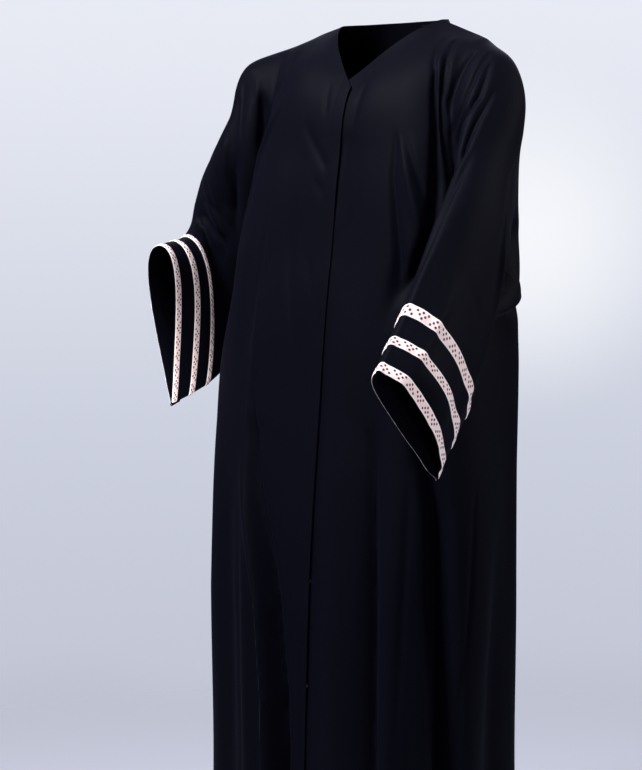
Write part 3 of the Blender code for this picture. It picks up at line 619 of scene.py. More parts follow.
def band_points(rows, across):
    """The front band, from the right front's edge to the overlap edge."""
    inner_x = BAND_WIDTH - OVERLAP_EDGE - SEAM_GAP
    columns = [front_inner_edge(rows, x) for x in inner_x - across * BAND_WIDTH]
    return np.stack(columns, axis=1) * (-1, 1, 1)


def between(grid, at):
    """A grid read at fractions of its lines: each is the mean of the lines beside it, by share."""
    low = np.clip(np.floor(at).astype(int), 0, len(grid) - 2)
    share = (at - low).reshape(-1, *[1] * (grid.ndim - 1))
    return grid[low] * (1 - share) + grid[low + 1] * share


def crease_line(piece, points):
    """A crease as short straight steps on its undented piece, with its width and depth at each."""
    table = np.array(points, dtype=float)
    knots = np.arange(len(table))
    at = np.linspace(0, len(table) - 1, CREASE_STEPS * (len(table) - 1) + 1)
    down, across, width, depth = (np.interp(at, knots, table[:, k]) for k in range(4))
    steps = np.arange(len(at))
    if piece.startswith("sleeve"):
        sleeve = LEFT_SLEEVE if piece.endswith("left") else RIGHT_SLEEVE
        line = sleeve_points(sleeve, down, np.radians(across))[steps, steps]
    elif piece.startswith("front"):
        line = front_points(piece.split("_")[1], down, across)[steps, steps]
    else:
        half = len(at) - 1
        side = half + steps if piece.endswith("left") else half - steps
        line = back_points(down, across)[steps, side]
    return line, width / 1000, depth / 1000


def press(points, line, width, depth):
    """Depth of one crease: depth * exp(-(distance / half width)^2), read at the nearest step."""
    total = np.zeros(len(points))
    reach = CREASE_REACH * width.max()
    near = np.all((points > line.min(0) - reach) & (points < line.max(0) + reach), axis=1)
    where = np.flatnonzero(near)
    best = np.full(len(where), np.inf)
    wide, deep = np.ones(len(where)), np.zeros(len(where))
    for k in range(len(line) - 1):
        step = line[k + 1] - line[k]
        t = np.clip((points[where] - line[k]) @ step / max(step @ step, 1e-12), 0, 1)
        away = np.sum((points[where] - line[k] - t[:, None] * step) ** 2, axis=1)
        closer = away < best
        best[closer] = away[closer]
        wide[closer] = (width[k] + (width[k + 1] - width[k]) * t)[closer]
        deep[closer] = (depth[k] + (depth[k + 1] - depth[k]) * t)[closer]
    total[where] = deep * np.exp(-best / wide**2)
    return total


def all_folds(points):
    """Sum of the large folds and the finer creases at each point."""
    total = np.zeros(len(points))
    for piece, down_0, across_0, down_1, across_1, half_width, depth in FOLDS:
        stations = []
        for length, share in FOLD_GROWTH:
            down = down_0 + (down_1 - down_0) * length
            across = across_0 + (across_1 - across_0) * length
            stations.append((down, across, 1000 * half_width, 1000 * depth * share))
        total += press(points, *crease_line(piece, stations))
    for piece, creases in CREASES.items():
        for stations in creases:
            total += press(points, *crease_line(piece, stations))
    return total


def drift(points):
    """Slow unevenness of hanging crepe: sines of different lengths, longest down the cloth."""
    total = np.zeros(len(points))
    for reach_x, reach_y, reach_z, start, height in DRIFT:
        phase = points[:, 0] / reach_x + points[:, 1] / reach_y + points[:, 2] / reach_z
        total += height / 1000 * np.sin(2 * math.pi * phase + start)
    return total


def cloth_grids():
    """Undented grids of every sheet."""
    rows = np.arange(BODY_ROWS * LINES_PER_ROW + 1) / LINES_PER_ROW
    across = np.linspace(0, 1, FRONT_COLUMNS + 1)
    neck = np.linspace(0, NECK_SHARE, BACK_NECK_COLUMNS + 1)
    seam = np.linspace(NECK_SHARE, 1, BACK_SEAM_COLUMNS + 1)
    angles = 2 * math.pi * np.arange(ANGLES) / ANGLES
    stations = np.linspace(0, SLEEVE_STATIONS, SLEEVE_LINES + 1)
    band_rows = rows[SHOULDER_ROWS * LINES_PER_ROW:]
    return {
        "front_right": front_points("right", rows, across),
        "front_left": front_points("left", rows, across),
        "front_band": band_points(band_rows, np.linspace(0, 1, BAND_COLUMNS + 1)),
        "back": back_points(rows, np.concatenate([neck, seam[1:]])),
        "sleeve_right": sleeve_points(RIGHT_SLEEVE, stations, angles),
        "sleeve_left": sleeve_points(LEFT_SLEEVE, stations, angles),
    }


def sew(grids):
    """Number every grid point, with one number where pieces are sewn together."""
    ids, start = {}, 0
    for name, grid in grids.items():
        count = grid.shape[0] * grid.shape[1]
        ids[name] = np.arange(start, start + count).reshape(grid.shape[:2])
        start += count
    last = ARMHOLE_ROWS * LINES_PER_ROW
    middle = BACK_NECK_COLUMNS + BACK_SEAM_COLUMNS
    seam = np.arange(BACK_SEAM_COLUMNS + 1)
    shoulder = seam * FRONT_COLUMNS // BACK_SEAM_COLUMNS
    down = np.arange(1, last)
    back = ids["back"]
    for side, edge, sign in (("right", 0, -1), ("left", -1, 1)):
        front, sleeve = ids["front_" + side], ids["sleeve_" + side]
        back[0, middle + sign * (BACK_NECK_COLUMNS + seam)] = front[0, shoulder]
        sleeve[0, 0] = front[0, -1]
        sleeve[0, 1:last + 1] = front[1:last + 1, -1]
        back[down, edge] = sleeve[0, ANGLES - down]
        back[last:, edge] = front[last:, -1]
    ids["front_band"][:, 0] = ids["front_right"][SHOULDER_ROWS * LINES_PER_ROW:, 0]
    return ids, start


def grid_quads(index, closed, flip):
    """Corner numbers of a grid's faces; a closed grid runs round in its columns."""
    if closed:
        index = np.concatenate([index, index[:, :1]], axis=1)
    quads = np.stack([index[:-1, :-1], index[1:, :-1], index[1:, 1:], index[:-1, 1:]], axis=-1)
    quads = quads.reshape(-1, 4)
    return quads[:, ::-1] if flip else quads


def unit(vectors):
    """The same directions, made one long."""
    return vectors / np.maximum(np.linalg.norm(vectors, axis=-1, keepdims=True), 1e-12)


def sum_by_number(number, values, count):
    """Sum of the values that share a number, for each number up to a count."""
    return np.stack([np.bincount(number, values[:, k], count) for k in range(3)], axis=1)


def vertex_normals(points, quads):
    """Each point's normal: the sum of its faces' normals, made one long."""
    corner = points[quads]
    face = np.cross(corner[:, 2] - corner[:, 0], corner[:, 3] - corner[:, 1])
    return unit(sum_by_number(quads.ravel(), np.repeat(face, 4, axis=0), len(points)))


def ease(points, edges, weight, rounds):
    """Move points towards the mean of their neighbours, by their weight, a number of times."""
    both = np.concatenate([edges, edges[:, ::-1]])
    degree = np.maximum(np.bincount(both[:, 0], minlength=len(points)), 1)[:, None]
    for _ in range(rounds):
        mean = sum_by_number(both[:, 0], points[both[:, 1]], len(points)) / degree
        points = points + weight[:, None] * (mean - points)
    return points


def distance_to(points, places):
    """Distance from each point to the nearest of some places."""
    nearest = np.full(len(points), np.inf)
    for place in places:
        nearest = np.minimum(nearest, np.sum((points - place) ** 2, axis=1))
    return np.sqrt(nearest)


def make_cloth():
    """The whole garment as one sewn sheet: points, normals and each piece's numbers."""
    grids = cloth_grids()
    ids, count = sew(grids)
    number = np.concatenate([ids[name].ravel() for name in grids])
    flat = np.concatenate([grid.reshape(-1, 3) for grid in grids.values()])
    uses = np.maximum(np.bincount(number, minlength=count), 1)
    points = sum_by_number(number, flat, count) / uses[:, None]
    quads = np.concatenate([
        grid_quads(ids[name], name.startswith("sleeve"), FACING[name] < 0) for name in grids
    ])
    pairs = np.concatenate([quads[:, [k, (k + 1) % 4]] for k in range(4)])
    edges, shared = np.unique(np.sort(pairs, axis=1), axis=0, return_counts=True)
    open_edge = np.unique(edges[shared == 1])
    seams = np.concatenate([
        ids["front_right"][0, 2:], ids["front_left"][0, 2:],
        ids["front_right"][:, -1], ids["front_left"][:, -1],
        ids["sleeve_right"][0], ids["sleeve_left"][0],
    ])
    inside = np.ones(count)
    inside[open_edge] = 0
    # Every fourth point of a seam and every third of an edge are close enough to measure from
    near_seam = np.exp(-(distance_to(points, points[seams[::4]]) / SEAM_EASE) ** 2)
    off_edge = smooth_step(distance_to(points, points[open_edge[::3]]) / EDGE_KEEP)
    points = ease(points, edges, SEAM_PULL * near_seam * off_edge * inside, SEAM_ROUNDS)
    normals = vertex_normals(points, quads)
    points = points + normals * (all_folds(points) + drift(points))[:, None]
    points = ease(points, edges, CLOTH_PULL * inside, CLOTH_ROUNDS)
    return points, vertex_normals(points, quads), ids


def wall_corners(rows, columns, closed):
    """Row, column and layer of each corner of a wall's faces, layer 0 outside and 1 inside."""
    steps = columns if closed else columns - 1
    r, c = (a.ravel() for a in np.meshgrid(np.arange(rows - 1), np.arange(steps), indexing="ij"))
    ring, down = np.arange(steps), np.arange(rows - 1)
    top, bottom = np.zeros_like(ring), np.full_like(ring, rows - 1)
    first, last = np.zeros_like(down), np.full_like(down, columns - 1)
    sides = [
        ((r, c, 0), (r + 1, c, 0), (r + 1, c + 1, 0), (r, c + 1, 0)),
        ((r, c, 1), (r, c + 1, 1), (r + 1, c + 1, 1), (r + 1, c, 1)),
        ((top, ring, 0), (top, ring + 1, 0), (top, ring + 1, 1), (top, ring, 1)),
        ((bottom, ring + 1, 0), (bottom, ring, 0), (bottom, ring, 1), (bottom, ring + 1, 1)),
    ]
    if not closed:
        sides += [
            ((down + 1, first, 0), (down, first, 0), (down, first, 1), (down + 1, first, 1)),
            ((down, last, 0), (down + 1, last, 0), (down + 1, last, 1), (down, last, 1)),
        ]
    faces = []
    for side in sides:
        corners = [
            np.stack([row, column, np.full_like(row, layer)], axis=-1)
            for row, column, layer in side
        ]
        faces.append(np.stack(corners, axis=1))
    return np.concatenate(faces)


def cloth_map(points, closed):
    """A flat map of a grid in metres: mean length along its lines, and down its columns."""
    if closed:
        round_again = np.concatenate([points, points[:, :1]], axis=1)
    else:
        round_again = points
    steps = np.linalg.norm(np.diff(round_again, axis=1), axis=2)
    along = np.concatenate([[0], np.cumsum(steps.mean(axis=0))])
    drops = np.linalg.norm(np.diff(points, axis=0), axis=2)
    down = np.concatenate([[0], np.cumsum(drops.mean(axis=1))])
    return np.stack(np.meshgrid(along, -down), axis=-1)


def add_mesh(name, vertices, faces, material, flat_map=None):
    """A new piece from numbered faces, shaded smooth except at its sharp edges."""
    mesh = bpy.data.meshes.new(name)
    mesh.vertices.add(len(vertices))
    mesh.vertices.foreach_set("co", np.ascontiguousarray(vertices, dtype=np.float32).ravel())
    mesh.loops.add(faces.size)
    mesh.loops.foreach_set("vertex_index", np.ascontiguousarray(faces, dtype=np.int32).ravel())
    mesh.polygons.add(len(faces))
    starts = np.arange(0, faces.size, faces.shape[1], dtype=np.int32)
    mesh.polygons.foreach_set("loop_start", starts)
    mesh.update(calc_edges=True)
    if flat_map is not None:
        layer = mesh.uv_layers.new(name="cloth")
        layer.data.foreach_set("uv", np.ascontiguousarray(flat_map, dtype=np.float32).ravel())
    mesh.shade_smooth()
    mesh.set_sharp_from_angle(angle=math.radians(SHARP_ANGLE))
    mesh.materials.append(material)
    piece = bpy.data.objects.new(name, mesh)
    bpy.context.scene.collection.objects.link(piece)
    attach(piece, "root")
    return piece


def add_wall(name, outer, inner, material, closed, flip, flat_map):
    """A cloth wall between two grids of the same shape; flip turns its faces outwards."""
    rows, columns = outer.shape[:2]
    corner = wall_corners(rows, columns, closed)
    if flip:
        corner = corner[:, ::-1]
    row, column, layer = corner[..., 0], corner[..., 1], corner[..., 2]
    faces = layer * rows * columns + row * columns + column % columns
    vertices = np.concatenate([outer.reshape(-1, 3), inner.reshape(-1, 3)])
    return add_mesh(name, vertices, faces, material, flat_map[row, column])


def hex_colour(text):
    """Linear colour of an sRGB hex value: ((c + 0.055) / 1.055)^2.4, or c / 12.92 in the darks."""
    parts = np.array([int(text[k:k + 2], 16) for k in (1, 3, 5)]) / 255
    linear = np.where(parts > 0.04045, ((parts + 0.055) / 1.055) ** 2.4, parts / 12.92)
    return (*linear.tolist(), 1.0)


def node(tree, kind, inputs=None, **settings):
    """Add a node, set its settings, and give each named input a value or another node's output."""
    made = tree.nodes.new(kind)
    for key, value in settings.items():
        setattr(made, key, value)
    for key, value in (inputs or {}).items():
        if isinstance(value, bpy.types.NodeSocket):
            tree.links.new(value, made.inputs[key])
        else:
            made.inputs[key].default_value = value
    return made


def new_material(name):
    """An empty material: its tree and its shader."""
    material = bpy.data.materials.new(name)
    material.use_nodes = True
    return material, material.node_tree, material.node_tree.nodes["Principled BSDF"]


def crepe_material():
    """Polyester crepe, woven from hard-twisted yarn and dyed black in the piece.

    The eye sees almost no shine from in front, a fine pebbled grain close up, and a soft
    blue-grey bloom where the cloth turns away.
    """
    material, tree, shader = new_material("black polyester crepe")
    place = node(tree, "ShaderNodeUVMap", uv_map="cloth").outputs["UV"]
    # Crepe yarn kinks every 0.5 mm or so; drawn at about 1.4 mm so that it shows
    grain = node(tree, "ShaderNodeTexNoise", {"Vector": place, "Scale": 700.0, "Detail": 2.0})
    # Yarn of uneven thickness: streaks about 2.4 mm wide and 20 mm long, down the piece
    streak = node(tree, "ShaderNodeMapping", {"Vector": place, "Scale": (1.0, 0.12, 1.0)})
    slub = node(tree, "ShaderNodeTexNoise", {
        "Vector": streak.outputs[0], "Scale": 420.0, "Detail": 1.0,
    })
    surface = node(tree, "ShaderNodeMath", {
        0: slub.outputs["Fac"], 1: 0.6, 2: grain.outputs["Fac"],
    }, operation="MULTIPLY_ADD")
    bump = node(tree, "ShaderNodeBump", {
        "Height": surface.outputs[0], "Strength": 0.25, "Distance": 0.0004,
    })
    # The dye takes a little unevenly, in clouds about 110 mm across
    cloud = node(tree, "ShaderNodeTexNoise", {"Vector": place, "Scale": 9.0, "Detail": 3.0})
    tint = node(tree, "ShaderNodeMix", {
        "Factor": cloud.outputs["Fac"], "A": hex_colour("#06060E"), "B": hex_colour("#080811"),
    }, data_type="RGBA")
    tree.links.new(tint.outputs["Result"], shader.inputs["Base Color"])
    tree.links.new(bump.outputs["Normal"], shader.inputs["Normal"])
    shader.inputs["Roughness"].default_value = 0.60
    shader.inputs["Specular IOR Level"].default_value = 0.032
    shader.inputs["Sheen Weight"].default_value = 0.02
    shader.inputs["Sheen Roughness"].default_value = 0.45
    shader.inputs["Sheen Tint"].default_value = hex_colour("#8C92C8")
    return material


def ribbon_material():
    """Woven polyester ribbon, 15.5 mm wide: a blush ground with darker dots floated on it.

    The dots stand in triangles on a lattice of three columns.  Row r of a triangle has a dot in
    column c where c <= min(r, 4 - r) and r + c is even; every other triangle is turned, and its
    columns count from the other edge.  The map is in metres: along the ribbon, then across it.
    """
    material, tree, shader = new_material("woven jacquard ribbon")
    place = node(tree, "ShaderNodeUVMap", uv_map="cloth").outputs["UV"]
    split = node(tree, "ShaderNodeSeparateXYZ", {"Vector": place})
    steps = (
        # result, operation, first, second
        ("rows", "DIVIDE", "x", MOTIF_ROW),
        ("rows in triangle", "FLOORED_MODULO", "rows", TRIANGLE_ROWS),
        ("row", "FLOOR", "rows in triangle", 0.0),
        ("from first column", "SUBTRACT", "y", MOTIF_START),
        ("columns", "DIVIDE", "from first column", MOTIF_COLUMN),
        ("column", "FLOOR", "columns", 0.0),
        # In a turned triangle column c is read as 2 - c
        ("triangles", "DIVIDE", "rows", TRIANGLE_ROWS),
        ("triangle", "FLOOR", "triangles", 0.0),
        ("turned", "FLOORED_MODULO", "triangle", 2.0),
        ("twice", "MULTIPLY", "column", 2.0),
        ("across", "SUBTRACT", 2.0, "twice"),
        ("change", "MULTIPLY", "turned", "across"),
        ("place", "ADD", "column", "change"),
        # Whether the cell at that row and column has a dot
        ("rows left", "SUBTRACT", 4.0, "row"),
        ("widest", "MINIMUM", "row", "rows left"),
        ("limit", "ADD", "widest", 0.5),
        ("in triangle", "LESS_THAN", "place", "limit"),
        ("on lattice", "GREATER_THAN", "place", -0.5),
        ("sum", "ADD", "row", "place"),
        ("remainder", "FLOORED_MODULO", "sum", 2.0),
        ("even", "LESS_THAN", "remainder", 0.5),
        # Distance from the cell's middle, in metres
        ("row part", "FRACT", "rows in triangle", 0.0),
        ("row offset", "SUBTRACT", "row part", 0.5),
        ("along", "MULTIPLY", "row offset", MOTIF_ROW),
        ("column part", "FRACT", "columns", 0.0),
        ("column offset", "SUBTRACT", "column part", 0.5),
        ("sideways", "MULTIPLY", "column offset", MOTIF_COLUMN),
        ("along squared", "MULTIPLY", "along", "along"),
        ("sideways squared", "MULTIPLY", "sideways", "sideways"),
        ("squared", "ADD", "along squared", "sideways squared"),
        ("distance", "SQRT", "squared", 0.0),
        # Distance from the ribbon's middle line
        ("from middle", "SUBTRACT", "y", RIBBON_WIDTH / 2),
        ("off middle", "ABSOLUTE", "from middle", 0.0),
    )
    value = {"x": split.outputs["X"], "y": split.outputs["Y"]}
    for result, operation, first, second in steps:
        inputs = {0: value.get(first, first), 1: value.get(second, second)}
        value[result] = node(tree, "ShaderNodeMath", inputs, operation=operation).outputs[0]
    mark = node(tree, "ShaderNodeMapRange", {
        "Value": value["distance"], "From Min": DOT_FULL, "From Max": DOT_RIM,
        "To Min": 1.0, "To Max": 0.0,
    }).outputs[0]
    for needed in ("in triangle", "on lattice", "even"):
        both = node(tree, "ShaderNodeMath", {0: mark, 1: value[needed]}, operation="MULTIPLY")
        mark = both.outputs[0]
    selvedge = node(tree, "ShaderNodeMapRange", {
        "Value": value["off middle"], "From Min": SELVEDGE_START, "From Max": SELVEDGE_END,
    })
    ground = node(tree, "ShaderNodeMix", {
        "Factor": selvedge.outputs[0], "A": hex_colour("#FFE3E0"), "B": hex_colour("#FFF4EE"),
    }, data_type="RGBA")
    # The floated threads spread unevenly, in patches about 4 mm across
    spread = node(tree, "ShaderNodeTexNoise", {"Vector": place, "Scale": 260.0, "Detail": 1.0})
    floats = node(tree, "ShaderNodeMix", {
        "Factor": spread.outputs["Fac"], "A": hex_colour("#26060D"), "B": hex_colour("#740E1E"),
    }, data_type="RGBA")
    colour = node(tree, "ShaderNodeMix", {
        "Factor": mark, "A": ground.outputs["Result"], "B": floats.outputs["Result"],
    }, data_type="RGBA")
    # A wave of scale s repeats every 2 pi / (20 s)
    ribs = node(tree, "ShaderNodeTexWave", {
        "Vector": place, "Scale": 2 * math.pi / 20 / RIB_PITCH,
    }, bands_direction="X")
    height = node(tree, "ShaderNodeMath", {
        0: ribs.outputs["Fac"], 1: 0.3, 2: mark,
    }, operation="MULTIPLY_ADD")
    bump = node(tree, "ShaderNodeBump", {
        "Height": height.outputs[0], "Strength": 0.5, "Distance": 0.0004,
    })
    tree.links.new(colour.outputs["Result"], shader.inputs["Base Color"])
    tree.links.new(bump.outputs["Normal"], shader.inputs["Normal"])
    shader.inputs["Roughness"].default_value = 0.6
    shader.inputs["Sheen Weight"].default_value = 0.1
    return material


def thread_material():
    """Spun polyester sewing thread, black, coloured a shade lighter than the crepe: a painted highlight for
    the light it catches where it stands proud.
    """
    material, tree, shader = new_material("black sewing thread")
    place = node(tree, "ShaderNodeTexCoord").outputs["Object"]
    # Twist about 1.1 mm long
    twist = node(tree, "ShaderNodeTexNoise", {"Vector": place, "Scale": 900.0})
    # Painted highlight: both shades stand a little above the crepe's black
    tint = node(tree, "ShaderNodeMix", {
        "Factor": twist.outputs["Fac"], "A": hex_colour("#07070F"), "B": hex_colour("#0A0A13"),
    }, data_type="RGBA")
    tree.links.new(tint.outputs["Result"], shader.inputs["Base Color"])
    shader.inputs["Roughness"].default_value = 0.6
    shader.inputs["Specular IOR Level"].default_value = 0.08
    return material


def stud_material():
    """Nickel-plated brass press stud, stamped and tumbled: a soft bright metal."""
    material, tree, shader = new_material("nickel-plated press stud")
    place = node(tree, "ShaderNodeTexCoord").outputs["Object"]
    # Tumbling marks about 1.2 mm across, which spread the glint unevenly
    wear = node(tree, "ShaderNodeTexNoise", {"Vector": place, "Scale": 800.0})
    rough = node(tree, "ShaderNodeMapRange", {
        "Value": wear.outputs["Fac"], "To Min": 0.25, "To Max": 0.45,
    })
    tree.links.new(rough.outputs[0], shader.inputs["Roughness"])
    shader.inputs["Base Color"].default_value = hex_colour("#D9D6CF")
    shader.inputs["Metallic"].default_value = 1.0
    return material


def wall_thickness(points, edges):
    """Cloth thickness over a grid: plain inside, thicker where an edge is turned and stitched.

    thickness = plain + (turned - plain) * ease((hem depth - distance to a turned edge) / step)
    """
    thick = np.full(points.shape[:2], CLOTH)
    for axis, line in edges:
        steps = np.linalg.norm(np.diff(points, axis=axis), axis=2)
        zero = np.zeros_like(np.take(steps, [0], axis=axis))
        run = np.concatenate([zero, np.cumsum(steps, axis=axis)], axis=axis)
        away = np.abs(run - np.take(run, [line], axis=axis))
        turned = smooth_step((HEM_DEPTH - away) / TURNED_STEP)
        thick = np.maximum(thick, CLOTH + (TURNED_CLOTH - CLOTH) * turned)
    return thick[..., None]


def read_along(lengths, run, values):
    """A line's values at given lengths along it."""
    return np.stack([np.interp(lengths, run, values[:, k]) for k in range(3)], axis=1)


def stitches(name, lines, material):
    """Running stitches on lines: each a short flattened spindle that lies along its line.

    Ring k of a spindle is at (-1/2, -1/4, 1/4, 1/2)[k] of the stitch's length, and its radius is
    the stitch's times (0.35, 1, 1, 0.35)[k].  Off the cloth the ring is 0.6 as high as it is
    wide, and its middle is 0.3 of a radius up.
    """
    ring_place = np.array([-0.5, -0.25, 0.25, 0.5])
    ring_size = np.array([0.35, 1.0, 1.0, 0.35])
    flatness, lift = 0.6, 0.3
    turn = 2 * math.pi * np.arange(STITCH_SIDES) / STITCH_SIDES
    ring = np.arange(4 * STITCH_SIDES).reshape(4, STITCH_SIDES)
    around = np.roll(ring, -1, axis=1)
    sides = np.stack([ring[:-1], around[:-1], around[1:], ring[1:]], axis=-1).reshape(-1, 4)
    # Each six-sided end is closed by two faces
    first, last = ring[0], ring[-1]
    caps = [first[[0, 5, 4, 3]], first[[0, 3, 2, 1]], last[[0, 1, 2, 3]], last[[0, 3, 4, 5]]]
    shape = np.concatenate([sides, caps])
    spin = STITCH_RADIUS * ring_size[:, None] * np.stack([np.cos(turn), np.sin(turn)])[:, None]
    vertices, faces, count = [], [], 0
    for points, normals in lines:
        run = np.concatenate([[0], np.cumsum(np.linalg.norm(np.diff(points, axis=0), axis=1))])
        at = np.arange(STITCH_PITCH / 2, run[-1], STITCH_PITCH)
        centre = read_along(at, run, points)
        ahead = read_along(at + STITCH_PITCH / 4, run, points)
        behind = read_along(at - STITCH_PITCH / 4, run, points)
        along = unit(ahead - behind)
        side = unit(np.cross(along, read_along(at, run, normals)))
        out = np.cross(side, along)
        piece = (
            centre[:, None, None]
            + along[:, None, None] * (STITCH_LENGTH * ring_place)[None, :, None, None]
            + side[:, None, None] * spin[0][None, ..., None]
            + out[:, None, None] * (flatness * spin[1] + lift * STITCH_RADIUS)[None, ..., None]
        )
        vertices.append(piece.reshape(-1, 3))
        numbers = shape[None] + ring.size * np.arange(len(at))[:, None, None] + count
        faces.append(numbers.reshape(-1, 4))
        count += ring.size * len(at)
    return add_mesh(name, np.concatenate(vertices), np.concatenate(faces), material)


def edge_line(grid, normals, inward):
    """A line on a piece beside its first row, a given distance in from that edge."""
    steps = np.linalg.norm(np.diff(grid, axis=0), axis=2)
    run = np.concatenate([np.zeros((1, grid.shape[1])), np.cumsum(steps, axis=0)])
    below = np.argmax(run >= inward, axis=0)
    column = np.arange(grid.shape[1])
    low, high = run[below - 1, column], run[below, column]
    share = ((inward - low) / np.maximum(high - low, 1e-9))[:, None]
    above = 1 - share
    line = grid[below - 1, column] * above + grid[below, column] * share
    return line, normals[below - 1, column] * above + normals[below, column] * share


points, normals, ids = make_cloth()
surface = {name: points[index] for name, index in ids.items()}
facing = {name: normals[index] for name, index in ids.items()}

crepe = crepe_material()
ribbon_cloth = ribbon_material()
thread = thread_material()
stud_metal = stud_material()

# The five cloth panels: plain crepe, doubled where an edge is turned and stitched
for name, edges in TURNED_EDGES.items():
    closed = name.startswith("sleeve")
    outer = surface[name]
    inner = outer - facing[name] * wall_thickness(outer, edges)
    flat_map = cloth_map(outer, closed)
    piece = add_wall(name + "_cloth", outer, inner, crepe, closed, FACING[name] < 0, flat_map)
    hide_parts(name)
    width, length, area = FLAT_CUT[name]

# The front band: the doubled strip, a little proud of the front it is sewn to
band, out = surface["front_band"], facing["front_band"]
across = np.linspace(0, 1, BAND_COLUMNS + 1)
proud = (BAND_CLOTH - CLOTH) / 2
rolled = np.minimum(1, BAND_SLOPE * np.minimum(across, 1 - across) + BAND_EDGE)
rise = proud * rolled[None, :, None]
piece = add_wall(
    "front_band_cloth", band + out * rise, band - out * (BAND_CLOTH - rise),
    crepe, False, FACING["front_band"] < 0, cloth_map(band, False),
)
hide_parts("front_band")

# The ribbons: strips of the sleeves' own surface, moved out and crowned, each with whole repeats
# of its dots.  height = face + thickness * (edge + (1 - edge) * (1 - (2 share - 1)^6))
share = np.linspace(0, 1, RIBBON_LINES + 1)
crown = RIBBON_EDGE + (1 - RIBBON_EDGE) * (1 - (2 * share - 1) ** 6)
rise = RIBBON_FACE + RIBBON_CLOTH * crown[:, None, None]
repeat = 2 * TRIANGLE_ROWS * MOTIF_ROW
for side in ("right", "left"):
    sleeve, out = surface["sleeve_" + side], facing["sleeve_" + side]
    for number, ribbon in enumerate(RIBBONS):
        upper_edge = number * RIBBON_PITCH + RIBBON_WIDTH
        station = SLEEVE_STATIONS - (upper_edge - share * RIBBON_WIDTH) / CUFF_ZONE
        at = station * SLEEVE_LINES / SLEEVE_STATIONS
        strip, strip_out = between(sleeve, at), between(out, at)
        flat_map = cloth_map(strip, True)
        length = flat_map[0, -1, 0]
        flat_map[..., 0] *= round(length / repeat) * repeat / length
        flat_map[..., 1] = share[:, None] * RIBBON_WIDTH
        name = f"ribbon_{side}_{ribbon}"
        piece = add_wall(
            name + "_weave", strip + strip_out * rise, strip + strip_out * RIBBON_BACK,
            ribbon_cloth, True, FACING["sleeve_" + side] < 0, flat_map,
        )
        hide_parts(name)

# Stitching: down the band and round the hem
down_band = np.array([BAND_STITCH])
band_line = between(np.swapaxes(band, 0, 1), down_band)[0]
band_out = between(np.swapaxes(facing["front_band"], 0, 1), down_band)[0]
stitched = [(band_line + band_out * proud, band_out)]
for name in ("front_right", "front_left", "back"):
    stitched.append(edge_line(surface[name][::-1], facing[name][::-1], HEM_STITCH))
piece = stitches("seam_stitching", stitched, thread)

for name in ("stud_upper", "stud_lower"):
    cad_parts[name].material_slots[0].material = stud_metal

# Floor: a plain disc whose rim fades into the pale room
turn = 2 * math.pi * np.arange(FLOOR_SIDES) / FLOOR_SIDES
rim = FLOOR_RADIUS * np.stack([np.cos(turn), np.sin(turn), 0 * turn], axis=1) + (0, 0, FLOOR_Z)
floor_mesh = bpy.data.meshes.new("floor")
floor_mesh.from_pydata(rim.tolist(), [], [tuple(range(FLOOR_SIDES))])
floor_material, tree, shader = new_material("matt painted studio floor")
place = node(tree, "ShaderNodeTexCoord").outputs["Object"]
on_floor = node(tree, "ShaderNodeVectorMath", {0: place, 1: (0, 0, -FLOOR_Z)}, operation="ADD")
away = node(tree, "ShaderNodeVectorMath", {0: on_floor.outputs["Vector"]}, operation="LENGTH")
fade = node(tree, "ShaderNodeMapRange", {
    "Value": away.outputs["Value"], "From Min": FLOOR_FADE, "From Max": FLOOR_RADIUS,
    "To Min": 1.0, "To Max": 0.0,
}, interpolation_type="SMOOTHERSTEP")
tree.links.new(fade.outputs[0], shader.inputs["Alpha"])
shader.inputs["Base Color"].default_value = hex_colour(FLOOR_COLOUR)
shader.inputs["Roughness"].default_value = 0.9
floor_mesh.materials.append(floor_material)
floor = bpy.data.objects.new("floor", floor_mesh)
bpy.context.scene.collection.objects.link(floor)

# Studio: a pale room, a little darker low down, with large soft lights
world = bpy.data.worlds.new("pale studio")
world.use_nodes = True
tree = world.node_tree
background = tree.nodes["Background"]
direction = node(tree, "ShaderNodeTexCoord").outputs["Generated"]
height = node(tree, "ShaderNodeSeparateXYZ", {"Vector": direction}).outputs["Z"]
lowest, highest = ROOM_COLOURS[0][0], ROOM_COLOURS[-1][0]
share = node(tree, "ShaderNodeMapRange", {"Value": height, "From Min": lowest, "From Max": highest})
walls = node(tree, "ShaderNodeValToRGB", {"Fac": share.outputs[0]})
walls.color_ramp.interpolation = "B_SPLINE"
stops = walls.color_ramp.elements
for level, colour in ROOM_COLOURS[1:-1]:
    stops.new((level - lowest) / (highest - lowest))
for stop, (level, colour) in zip(stops, ROOM_COLOURS):
    stop.color = hex_colour(colour)
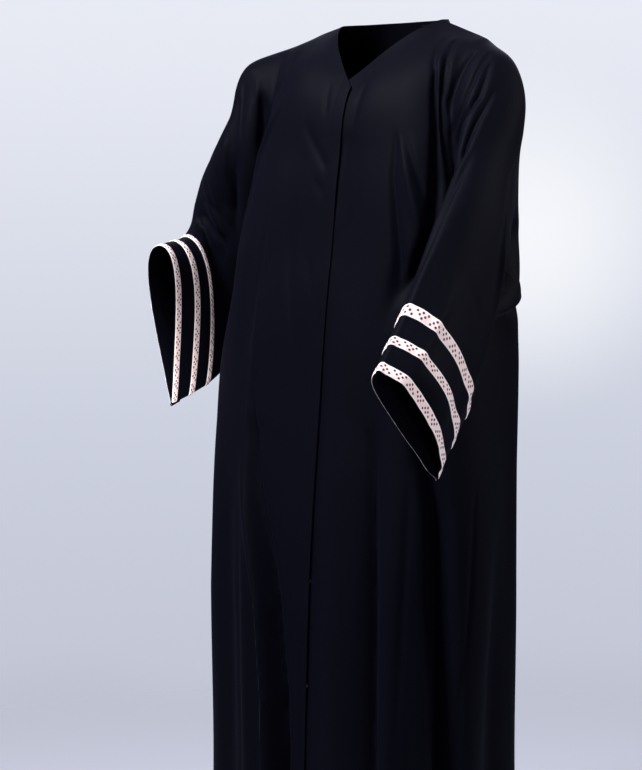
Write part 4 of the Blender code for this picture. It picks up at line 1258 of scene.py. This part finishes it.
# A soft pool of lamp light on the wall behind the garment's left side
towards = node(tree, "ShaderNodeVectorMath", {
    0: direction, 1: GLOW_TOWARDS,
}, operation="DOT_PRODUCT")
pool = node(tree, "ShaderNodeMapRange", {
    "Value": towards.outputs["Value"], "From Min": GLOW_RIM, "From Max": 1.0,
    "To Max": GLOW_STRENGTH,
})
glow = node(tree, "ShaderNodeMath", {0: pool.outputs[0], 1: 2.0}, operation="POWER")
room = node(tree, "ShaderNodeMix", {
    "Factor": glow.outputs[0], "A": walls.outputs["Color"], "B": hex_colour(GLOW_COLOUR),
}, data_type="RGBA")
tree.links.new(room.outputs["Result"], background.inputs["Color"])
# The room's walls are lit on their own, so less of that light reaches the garment
seen = node(tree, "ShaderNodeLightPath").outputs["Is Camera Ray"]
strength = node(tree, "ShaderNodeMapRange", {"Value": seen, "To Min": ROOM_LIGHT, "To Max": 1.0})
tree.links.new(strength.outputs[0], background.inputs["Strength"])
bpy.context.scene.world = world
bpy.context.scene.view_settings.view_transform = "Standard"


def hang_light(kind, name, place, aim, power):
    """A light at a place, turned to shine towards its aim: the light and its data."""
    data = bpy.data.lights.new(name, kind)
    data.energy = power
    light = bpy.data.objects.new(name, data)
    light.location = place
    away = mathutils.Vector((np.array(place) - aim).tolist())
    light.rotation_euler = away.to_track_quat("Z", "Y").to_euler()
    bpy.context.scene.collection.objects.link(light)
    return light, data


for name, place, aim, size, power, colour in LIGHTS:
    light, data = hang_light("AREA", name, place, aim, power)
    light.visible_camera = False
    data.shape = "RECTANGLE"
    data.size, data.size_y = size
    data.color = hex_colour(colour)[:3]

for name, place, aim, cone, power in LAMPS:
    light, data = hang_light("SPOT", name, place, aim, power)
    data.spot_size = cone
    data.spot_blend = LAMP_BLEND
    data.shadow_soft_size = LAMP_SIZE

camera_data = bpy.data.cameras.new("camera")
camera_data.sensor_fit = "VERTICAL"
camera_data.sensor_height = CAMERA_SENSOR
camera_data.lens = CAMERA_LENS
camera = bpy.data.objects.new("camera", camera_data)
back_axis = unit(np.array(CAMERA_BACK))
right_axis = unit(np.cross((0, 0, 1), back_axis))
up_axis = np.cross(back_axis, right_axis)
axes = mathutils.Matrix(np.stack([right_axis, up_axis, back_axis], axis=1).tolist())
camera.matrix_world = mathutils.Matrix.Translation(CAMERA_PLACE) @ axes.to_4x4()
bpy.context.scene.collection.objects.link(camera)
bpy.context.scene.camera = camera

bpy.context.view_layer.update()
